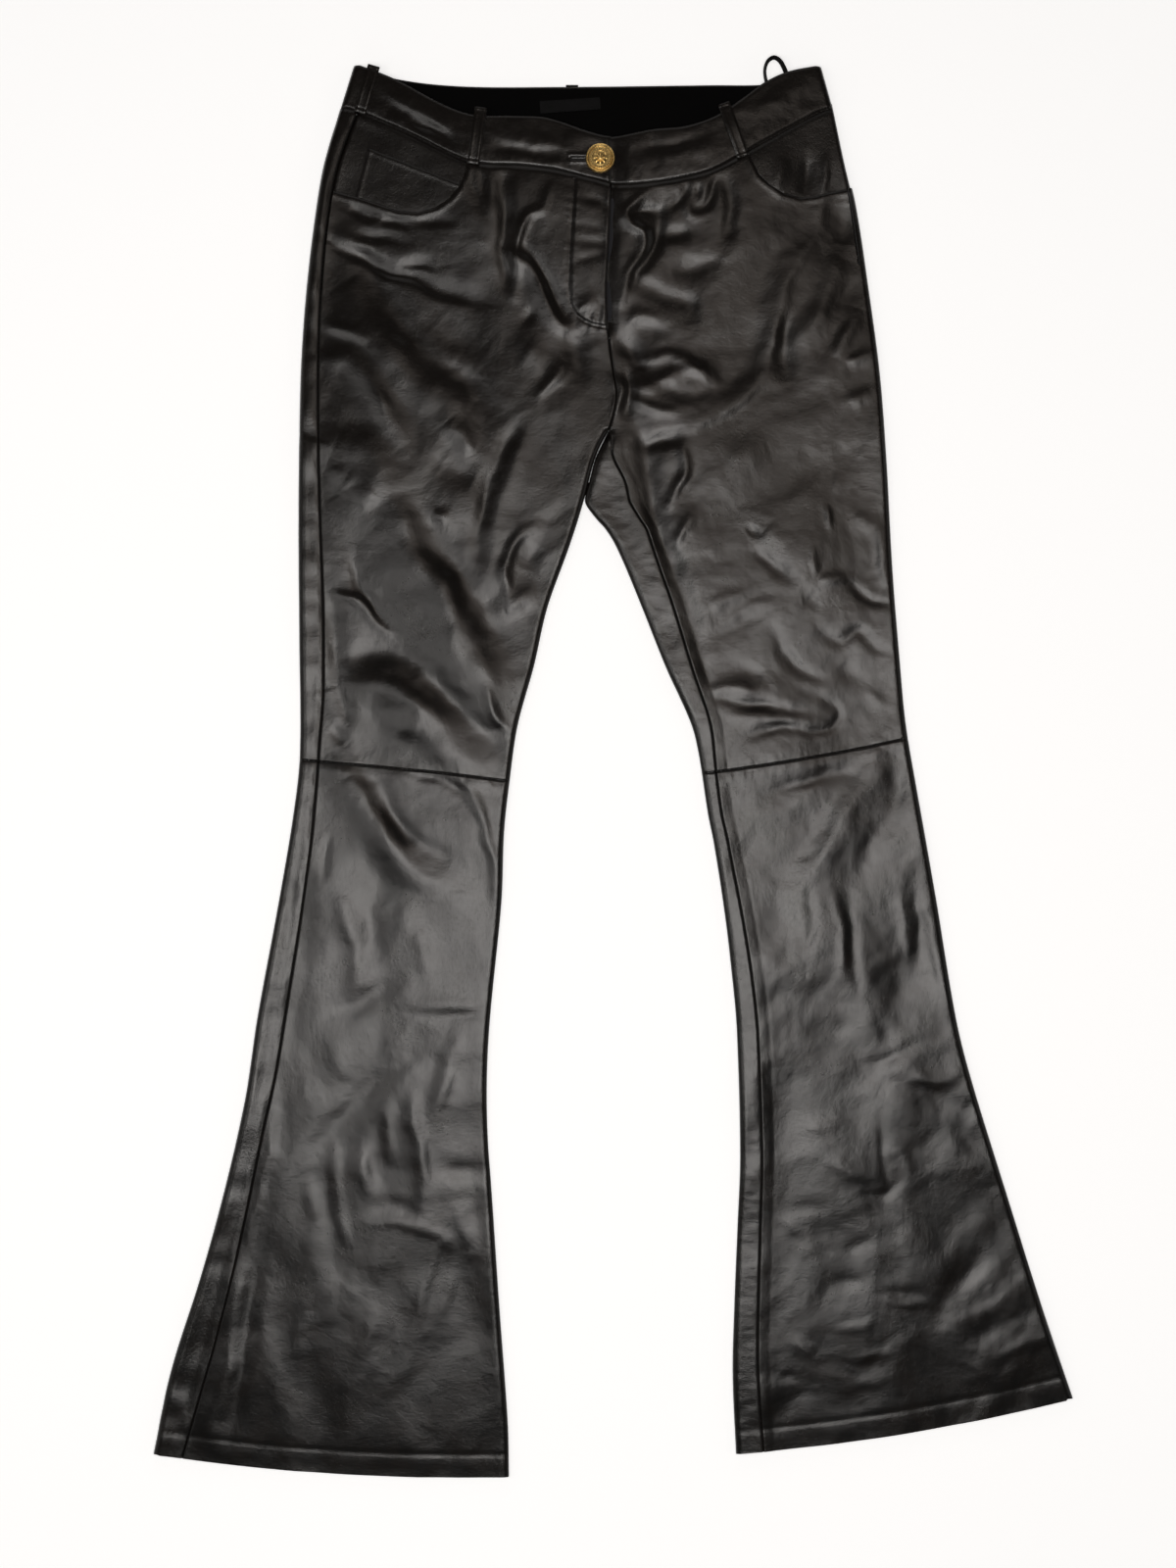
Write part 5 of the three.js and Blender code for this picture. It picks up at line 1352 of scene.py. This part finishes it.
class TROUSERS_OT_pockets(Operator):
    """Make the facings that show in the pocket mouths, and the coin pocket"""

    bl_idname = "trousers.pockets"
    bl_label = "Pockets"

    def execute(self, context):
        down = np.linspace(0, 1, 60)[:, None]
        x = np.linspace(0, 1, 70)[None, :]
        high = band_bottom(lerp(-198, -97, x)) + UNDER_BAND
        y = lerp(high, 405.0, down)
        m = lerp(right_front_start(y), 124, x)
        rests_on = ["back_thigh_right_leather"]
        self.facing("pocket_facing_right", right_leg, m, y, RIGHT_FACING_DEPTH, (0.115, 0.10), rests_on)
        side = 2 * ROLL - ROLL_ARC - UNDER_OUTSEAM + HALF_GAP
        stops = [np.full((1, 1), at) for at in (side, ROLL - ROLL_ARC, ROLL, 80.0)]
        m = columns_between(stops, (4, 12, 46))
        high = band_bottom(left_leg.outer(500) - np.clip(m, ROLL, 80)) + UNDER_BAND
        y = lerp(high, 418.0, down)
        m = np.broadcast_to(m, y.shape)
        rests_on = ["back_thigh_left_leather"]
        self.facing("pocket_facing_left", left_leg, m, y, LEFT_FACING_DEPTH, (0.105, 0.085), rests_on)
        self.coin_pocket()
        return {"FINISHED"}

    def facing(self, node, leg, m, y, below, flat, rests_on):
        surface = lambda m, y, depth: leg.point(m, y, below + depth)
        flip = leg.side < 0
        piece = shell(f"{node}_leather", surface, m, y, FACING, pocket_leather(), flip)
        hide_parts(node)

    def coin_pocket(self):
        corners = np.array(COIN_POCKET, float)
        plan = patch_plan(corners, 50, 90)
        m, y = right_leg.across(plan[..., 0], plan[..., 1]), plan[..., 1]

        def surface(m, y, depth):
            points = right_leg.point(m, y, COIN_DEPTH + depth)
            side = line_distance(corners[0], corners[2], points)
            top = line_distance(corners[0], corners[1], points)
            for edge in (side, top):
                points[..., 2] += 0.35 * bell(edge - 2.2, 1.8) - 0.6 * bell(edge, 0.8)
            return points

        piece = shell("coin_pocket_leather", surface, m, y, FACING, pocket_leather())
        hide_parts("coin_pocket")


def line_distance(start, end, points):
    """Distance in plan from each point to the line through two plan points."""
    dx, dy = end[0] - start[0], end[1] - start[1]
    off = (points[..., 1] - start[1]) * dx - (points[..., 0] - start[0]) * dy
    return np.abs(off) / math.hypot(dx, dy)


def patch_plan(corners, rows, columns):
    """A grid of plan points between four corners: top two, then bottom two."""
    down = np.linspace(0, 1, rows)[:, None, None]
    over = np.linspace(0, 1, columns)[None, :, None]
    return lerp(lerp(corners[0], corners[1], over), lerp(corners[2], corners[3], over), down)


class TROUSERS_OT_waistband(Operator):
    """Make the three pieces of the waistband"""

    bl_idname = "trousers.waistband"
    bl_label = "Waistband"

    def execute(self, context):
        w = np.linspace(0, 1, 34)[:, None]
        width = band.width(w)
        centre = CENTRE_FRONT_SHARE * width
        start = np.full_like(width, BAND_SIDE_SEAM)
        columns = columns_between((start + HALF_GAP, centre), (190,))
        piece = self.make("waistband_front_right", columns, w, right_band_surface)
        roll = width - ROLL
        end = roll + ROLL_ARC - ROLL + UNDER_OUTSEAM - HALF_GAP
        stops = (centre - OVERLAP, centre + 16, roll, roll + ROLL_ARC, end)
        columns = columns_between(stops, (50, 140, 14, 4))
        piece = self.make("waistband_front_left", columns, w, left_band_surface)
        end = 2 * ROLL - ROLL_ARC - width + UNDER_OUTSEAM + HALF_GAP
        turn = np.full_like(width, ROLL)
        columns = columns_between((start - HALF_GAP, turn, turn - ROLL_ARC, end), (8, 14, 90))
        piece = self.make("waistband_back", columns, w, band.point, flip=True)
        return {"FINISHED"}

    def make(self, node, m, w, surface, flip=False):
        w = np.broadcast_to(w, m.shape).copy()
        piece = shell(f"{node}_leather", surface, m, w, BAND_WALL, leather(), not flip)
        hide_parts(node)
        return piece


def right_band_surface(m, w, depth):
    points = band.point(m, w, depth)
    to_end = CENTRE_FRONT_SHARE * band.width(w) - m
    x, y = points[..., 0] - BUTTON_X, points[..., 1] - BUTTON_Y
    past_button = smoothstep(-x, 4, 9)
    slit = -1.5 * bell(np.abs(y), 1.0) * past_button * (1 - smoothstep(-x, 22, 24))
    binding = 0.5 * bell(np.abs(y) - 2.4, 1.3) * past_button * (1 - smoothstep(-x, 23, 26))
    end = 0.4 * bell(to_end - 3, 2.5) - 1.0 * bell(to_end, 1.0)
    points[..., 2] += end + binding + slit - 0.7 * bell(np.hypot(x, y), 12)
    return points


def left_band_surface(m, w, depth):
    points = band.point(m, w, depth)
    past_centre = m - CENTRE_FRONT_SHARE * band.width(w)
    points[..., 2] -= TONGUE_DEPTH * (1 - smoothstep(past_centre, 1, 15))
    return points


class TROUSERS_OT_facing(Operator):
    """Make the woven facing inside the back band, and its bare label"""

    bl_idname = "trousers.facing"
    bl_label = "Facing and label"

    def execute(self, context):
        w = np.linspace(0.04, 0.97, 26)[:, None]
        width = band.width(w)
        reach = lerp(12.0, width - 12.0, np.linspace(0, 1, 200)[None, :])
        w = np.broadcast_to(w, reach.shape)

        def surface(reach, w, depth):
            x, y = band.place(back_band_bottom, back_band_top, w, reach)
            lumps = 0.25 + 0.25 * gradient_noise(x, y, 22, 41)
            z = FACING_LOW + FACING - 0.1 + lumps - 0.5 * bell((w - 0.95) * 40, 1.5) - depth
            return np.stack([x, y, z], -1)

        cloth = finish_of("black_facing", woven_material)
        piece = shell("back_facing_cloth", surface, reach, w, FACING * 0.9, cloth, flip=True)
        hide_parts("back_facing")
        self.label()
        return {"FINISHED"}

    def label(self):
        plan = patch_plan(np.array(WAIST_LABEL), 24, 90)

        def surface(x, y, depth):
            sag = 0.18 * gradient_noise(x, y, 9, 51)
            return np.stack([x, y, FACING_LOW + FACING + 0.75 + sag - depth], -1)

        satin = finish_of("black_satin", satin_material)
        x, y = plan[..., 0], plan[..., 1]
        piece = shell("waist_label_satin", surface, x, y, 0.5, satin, flip=True)
        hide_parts("waist_label")


class BeltLoop(namedtuple("BeltLoop", "name x y lean length under")):
    """A belt loop: a folded strip sewn down at both ends."""

    def surface(self, out, share, depth):
        along = (share - 0.5) * self.length
        x = self.x + along * math.sin(self.lean) + out * math.cos(self.lean)
        y = self.y + along * math.cos(self.lean) - out * math.sin(self.lean)
        edge = LOOP_WIDTH / 2 - np.abs(out)
        end = np.minimum(share, 1 - share) * self.length
        rounding = -0.5 * bell(edge, 0.7) + 0.18 * bell(edge - 1.8, 1.0) - 0.5 * bell(end, 0.8)
        if self.under:
            return np.stack([x, y, LOOP_LIFT + depth + 0 * x], -1)
        arch = 0.9 * np.sin(np.pi * share) ** 2
        bar = -0.35 * bell(end - 3.2, 0.8)
        z = band_height(x) + SEAM_GAP + LOOP_WALL + 0.25 + arch + rounding + bar - depth
        return np.stack([x, y, z], -1)


LOOP_WIDTH = 9.5
LOOP_WALL = 1.2
LOOP_LIFT = 0.12
BELT_LOOPS = (
    BeltLoop("belt_loop_front_right", -105.3, 488, 0.14, 44, False),
    BeltLoop("belt_loop_front_left", 92.8, 492.4, -0.35, 44, False),
    BeltLoop("belt_loop_side_right", -190.6, 524.6, 0.29, 38, False),
    BeltLoop("belt_loop_side_left", 146, 521, -0.05, 31, True),
    BeltLoop("belt_loop_centre_back", -32, 509.3, 0, 42, True),
)


class TROUSERS_OT_belt_loops(Operator):
    """Make the five belt loops"""

    bl_idname = "trousers.belt_loops"
    bl_label = "Belt loops"

    def execute(self, context):
        for loop in BELT_LOOPS:
            out = np.linspace(-LOOP_WIDTH / 2, LOOP_WIDTH / 2, 15)[None, :]
            share = np.linspace(0, 1, 46)[:, None]
            out, share = np.broadcast_arrays(out, share)
            name = f"{loop.name}_leather"
            piece = shell(name, loop.surface, out, share, LOOP_WALL, leather(), loop.under)
            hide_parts(loop.name)
        return {"FINISHED"}


# The ribbon's route, from one end at the band round its loop to the other
RIBBON = (
    (121, 524, 5.3), (118.2, 534, 5.6), (117.6, 541, 6.4), (119.8, 547, 7.4), (124.4, 549.8, 7.8),
    (129, 547.4, 7.4), (132.4, 542, 6.6), (134.6, 536, 5.8), (135.6, 527, 5.4),
)
RIBBON_ROWS = 90
RIBBON_WIDTH = 3.6
RIBBON_WALL = 0.35


class TROUSERS_OT_hanger(Operator):
    """Make the ribbon hanger loop"""

    bl_idname = "trousers.hanger"
    bl_label = "Hanger loop"

    def execute(self, context):
        steps = np.linspace(0, 1, len(RIBBON))
        fine = np.linspace(0, 1, RIBBON_ROWS)
        line = np.stack([table_curve(list(zip(steps, column)))(fine) for column in zip(*RIBBON)], -1)
        tangent = np.gradient(line, axis=0)
        sideways = np.stack([-tangent[:, 1], tangent[:, 0], 0 * tangent[:, 0]], -1)
        sideways /= np.linalg.norm(sideways, axis=1)[:, None]
        twist = np.radians(30 + 20 * np.sin(fine * 5))[:, None]
        across = sideways * np.cos(twist) + np.array([0, 0, 1.0]) * np.sin(twist)
        lift = np.cross(tangent / np.linalg.norm(tangent, axis=1)[:, None], across)

        def surface(out, row, depth):
            i = np.round(row).astype(int)
            return line[i] + across[i] * out[..., None] + lift[i] * (0.15 - depth)

        across_steps = np.linspace(-RIBBON_WIDTH / 2, RIBBON_WIDTH / 2, 7)[None, :]
        out, row = np.broadcast_arrays(across_steps, np.arange(float(RIBBON_ROWS))[:, None])
        satin = finish_of("black_satin", satin_material)
        piece = shell("hanger_loop_satin", surface, out, row, RIBBON_WALL, satin)
        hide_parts("hanger_loop")
        return {"FINISHED"}


BUTTON_RINGS = 90
BUTTON_SPOKES = 192
# Edge and back of the button: radius, height over the band
BUTTON_RIM = (
    (BUTTON_RADIUS - 0.05, 1.1), (BUTTON_RADIUS - 0.7, 0.25), (BUTTON_RADIUS - 4, 0.05), (0.4, 0.05),
)


class TROUSERS_OT_button(Operator):
    """Make the gold button, with a rope rim and a plain rosette in relief"""

    bl_idname = "trousers.button"
    bl_label = "Button"

    def execute(self, context):
        base = float(band_height(BUTTON_X)) + SEAM_GAP
        size = np.linspace(0.0, 1, BUTTON_RINGS)[:, None]
        angle = np.linspace(0, 2 * np.pi, BUTTON_SPOKES, endpoint=False)[None, :]
        radius, around = np.broadcast_arrays(BUTTON_RADIUS * size, angle)
        rim_radius, rim_height = np.array(BUTTON_RIM).T[:, :, None]
        out = np.concatenate([radius, rim_radius + 0 * angle])
        height = np.concatenate([self.relief(radius, around), rim_height + 0 * angle])
        x, y = BUTTON_X + out * np.cos(angle), BUTTON_Y + out * np.sin(angle)
        points = np.stack([x, y, base + height], -1)
        rings = len(out)
        spoke = np.arange(BUTTON_SPOKES)
        turned = (spoke + 1) % BUTTON_SPOKES
        faces = []
        for ring in range(rings - 1):
            low, high = ring * BUTTON_SPOKES, (ring + 1) * BUTTON_SPOKES
            faces += np.stack([low + spoke, high + spoke, high + turned, low + turned], -1).tolist()
        gold = finish_of("gold_metal", gold_material)
        piece = mesh_object("button_gold", points, faces, gold)
        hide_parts("button")
        return {"FINISHED"}

    def relief(self, radius, angle):
        """Height of the button's face: rope rim, plain channel, bead ring and a rosette."""
        size = radius / BUTTON_RADIUS
        face = BUTTON_FACE + 0.25 * (1 - size**2)
        rope = 0.09 * np.sin(60 * angle + 5 * (size - 0.9) * 8) * bell(size - 0.915, 0.05)
        rim = 0.8 * bell(size - 0.915, 0.055)
        line = 0.5 * bell(size - 0.735, 0.035) + 0.4 * bell(size - 0.48, 0.03)
        petals = 0.5 * np.maximum(np.cos(8 * angle), -0.2) * bell(size - 0.27, 0.13)
        beads = 0.42 * np.maximum(np.cos(28 * angle), 0) * bell(size - 0.62, 0.04)
        boss = 0.4 * bell(size, 0.08)
        edge = -1.2 * smoothstep(size, 0.965, 1.0)
        return face + rope + rim + line + petals + beads + boss + edge


# Rings of one stitch: share along it, share of its full width, rise
STITCH_RINGS = (
    (0, 0.35, -0.16), (0.18, 0.85, 0.1), (0.5, 1, 0.2), (0.82, 0.85, 0.1), (1, 0.35, -0.16),
)
STITCH_WIDTH = 0.42
STITCH_GAP = 0.8
STITCH_SIDES = 6


def stitch_row(points, length):
    """Small rounded stitches laid along a line of surface points."""
    points = np.asarray(points, float)
    steps = np.concatenate([[0], np.cumsum(np.linalg.norm(np.diff(points, axis=0), axis=1))])
    ring = np.arange(STITCH_SIDES)
    angle = ring * 2 * np.pi / STITCH_SIDES
    verts, faces = [], []
    for k in range(int(steps[-1] // (length + STITCH_GAP))):
        at = k * (length + STITCH_GAP) + np.array((0, length))
        start, end = np.stack([np.interp(at, steps, points[:, i]) for i in range(3)], -1)
        direction = (end - start) / np.linalg.norm(end - start)
        side = np.cross(direction, (0, 0, 1.0))
        side /= np.linalg.norm(side)
        up = np.cross(side, direction)
        for share, scale, rise in STITCH_RINGS:
            wide = 0.5 * STITCH_WIDTH * scale
            out = np.cos(angle)[:, None] * wide * side + (np.sin(angle)[:, None] * wide + rise) * up
            verts.append(lerp(start, end, share) + out)
        base = STITCH_SIDES * len(STITCH_RINGS) * k
        for row in range(len(STITCH_RINGS) - 1):
            low = base + row * STITCH_SIDES + ring
            turned = base + row * STITCH_SIDES + (ring + 1) % STITCH_SIDES
            faces += np.stack([low, turned, turned + STITCH_SIDES, low + STITCH_SIDES], -1).tolist()
        last = base + (len(STITCH_RINGS) - 1) * STITCH_SIDES
        faces += [(base + ring).tolist(), (last + ring[::-1]).tolist()]
    return np.concatenate(verts), faces


class TROUSERS_OT_stitching(Operator):
    """Sew the seams and edges that show, stitch by stitch"""

    bl_idname = "trousers.stitching"
    bl_label = "Stitching"

    def execute(self, context):
        fly = resample(FLY_STITCH, 200)
        m = right_leg.across(fly[:, 0], fly[:, 1])
        self.sew("stitches_fly", right_front_surface(m, fly[:, 1], -0.05))
        y = np.linspace(236, -520, 500)
        m = left_leg.width(y) - left_leg.inseam(y)
        self.sew("stitches_inseam_left", left_leg.point(m, y, -SEAM_LIFT))
        y = np.linspace(500, -530, 700)
        self.sew("stitches_outseam_right", right_leg.point(right_leg.outseam(y), y, -SEAM_LIFT))
        for leg, name in ((right_leg, "right"), (left_leg, "left")):
            share = np.linspace(0.05, 0.96, 200)
            y = leg.line(leg.knee, share)
            self.sew(f"stitches_knee_{name}", leg.point(share * leg.width(y), y, -SEAM_LIFT))
        corners = np.array(COIN_POCKET, float)
        for name, first, second, inset in (("side", 0, 2, (2.0, -1.0)), ("top", 0, 1, (1.0, -2.2))):
            line = lerp(corners[first], corners[second], np.linspace(0.02, 0.98, 90)[:, None]) + inset
            shows = line[:, 1] > np.interp(line[:, 0], *np.array(sorted(RIGHT_SCOOP)).T) + 1
            x, y = line[shows].T
            m = right_leg.across(x, y)
            self.sew(f"stitches_coin_{name}", right_leg.point(m, y, COIN_DEPTH - 0.1))
        return {"FINISHED"}

    def sew(self, name, points):
        verts, faces = stitch_row(points, bpy.context.scene.trousers_sizes.stitch_length)
        mesh_object(name, verts, faces, thread())


class TROUSERS_OT_hidden(Operator):
    """Finish the zip tape that lies hidden behind the fly"""

    bl_idname = "trousers.hidden"
    bl_label = "Hidden tape"

    def execute(self, context):
        tape = finish_of("zip_tape", woven_material, 1.3, 0.0012)
        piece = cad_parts["fly_zip"]
        piece.data.materials.clear()
        piece.data.materials.append(tape)
        return {"FINISHED"}


FLOOR_Z = -0.0004
ROOM_BRIGHTNESS = 0.02


class TROUSERS_OT_stage(Operator):
    """Lay the pale floor and set the soft lights"""

    bl_idname = "trousers.stage"
    bl_label = "Stage"

    def execute(self, context):
        half = context.scene.trousers_sizes.floor_size / 2
        mesh = bpy.data.meshes.new("floor")
        corners = [(x * half, y * half, FLOOR_Z) for x, y in ((-1, -1), (1, -1), (1, 1), (-1, 1))]
        mesh.from_pydata(corners, [], [(0, 1, 2, 3)])
        mesh.materials.append(finish_of("white_floor", floor_material))
        floor = bpy.data.objects.new("floor", mesh)
        context.scene.collection.objects.link(floor)
        floor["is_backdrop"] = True
        colours = context.scene.trousers_colours
        world = bpy.data.worlds.new("soft_room")
        context.scene.world = world
        world.use_nodes = True
        background = world.node_tree.nodes["Background"]
        background.inputs["Color"].default_value = (1.0, 1.0, 1.0, 1.0)
        background.inputs["Strength"].default_value = ROOM_BRIGHTNESS
        self.lamp("overhead", (-0.02, -0.28, 2.4), (-0.03, -0.15, 0.0), (0.82, 0.92), 6.7)
        self.lamp("fill", (0.38, 0.45, 2.4), (0.1, 0.2, 0.0), (0.9, 0.9), 1.1, colours.warm_light)
        self.lamp("window", (-1.15, -0.1, 2.0), (-0.1, 0.1, 0), (0.7, 0.9), 2.3)
        for name, x, y in (("left", -2.6, 0), ("right", 2.6, 0), ("top", 0, 2.6), ("bottom", 0, -2.6)):
            self.lamp(f"wall_{name}", (x, y, 1.3), (0, 0, 0), (2.6, 1.4), 0.4)
        context.scene.view_settings.view_transform = "Standard"
        return {"FINISHED"}

    def lamp(self, name, place, target, size, brightness, colour=None):
        """A rectangular light that looks equally bright whatever its size."""
        data = bpy.data.lights.new(name, "AREA")
        data.shape = "RECTANGLE"
        data.size, data.size_y = size
        data.energy = brightness * math.pi * size[0] * size[1]
        data.color = colour or bpy.context.scene.trousers_colours.light
        lamp = bpy.data.objects.new(name, data)
        lamp.location = place
        lamp.rotation_euler = (Vector(target) - Vector(place)).to_track_quat("-Z", "Y").to_euler()
        bpy.context.scene.collection.objects.link(lamp)


class TROUSERS_PT_panel(Panel):
    """The trousers' tools, sizes and colours"""

    bl_label = "Leather trousers"
    bl_idname = "TROUSERS_PT_panel"
    bl_space_type = "VIEW_3D"
    bl_region_type = "UI"
    bl_category = "Trousers"

    def draw(self, context):
        for group in (context.scene.trousers_sizes, context.scene.trousers_colours):
            for key in group.__annotations__:
                self.layout.prop(group, key)
        for operator in OPERATORS:
            self.layout.operator(operator.bl_idname)


# The add-on
OPERATORS = (
    TROUSERS_OT_camera,
    TROUSERS_OT_fronts,
    TROUSERS_OT_backs,
    TROUSERS_OT_pockets,
    TROUSERS_OT_waistband,
    TROUSERS_OT_facing,
    TROUSERS_OT_belt_loops,
    TROUSERS_OT_hanger,
    TROUSERS_OT_button,
    TROUSERS_OT_stitching,
    TROUSERS_OT_hidden,
    TROUSERS_OT_stage,
)
CLASSES = (TrousersSizes, TrousersColours, *OPERATORS, TROUSERS_PT_panel)


def register():
    for cls in CLASSES:
        bpy.utils.register_class(cls)
    bpy.types.Scene.trousers_sizes = PointerProperty(type=TrousersSizes)
    bpy.types.Scene.trousers_colours = PointerProperty(type=TrousersColours)


def unregister():
    del bpy.types.Scene.trousers_colours
    del bpy.types.Scene.trousers_sizes
    for cls in reversed(CLASSES):
        bpy.utils.unregister_class(cls)


def main():
    register()
    bpy.ops.trousers.camera()
    bpy.ops.trousers.fronts()
    bpy.ops.trousers.backs()
    bpy.ops.trousers.pockets()
    bpy.ops.trousers.waistband()
    bpy.ops.trousers.facing()
    bpy.ops.trousers.belt_loops()
    bpy.ops.trousers.hanger()
    bpy.ops.trousers.button()
    bpy.ops.trousers.stitching()
    bpy.ops.trousers.hidden()
    bpy.ops.trousers.stage()
    bpy.context.view_layer.update()
    boxes = {"cad": CAD_BOX, "visual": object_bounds()}
    plain = {key: [list(corner) for corner in box] for key, box in boxes.items()}


if __name__ == "__main__":
    main()
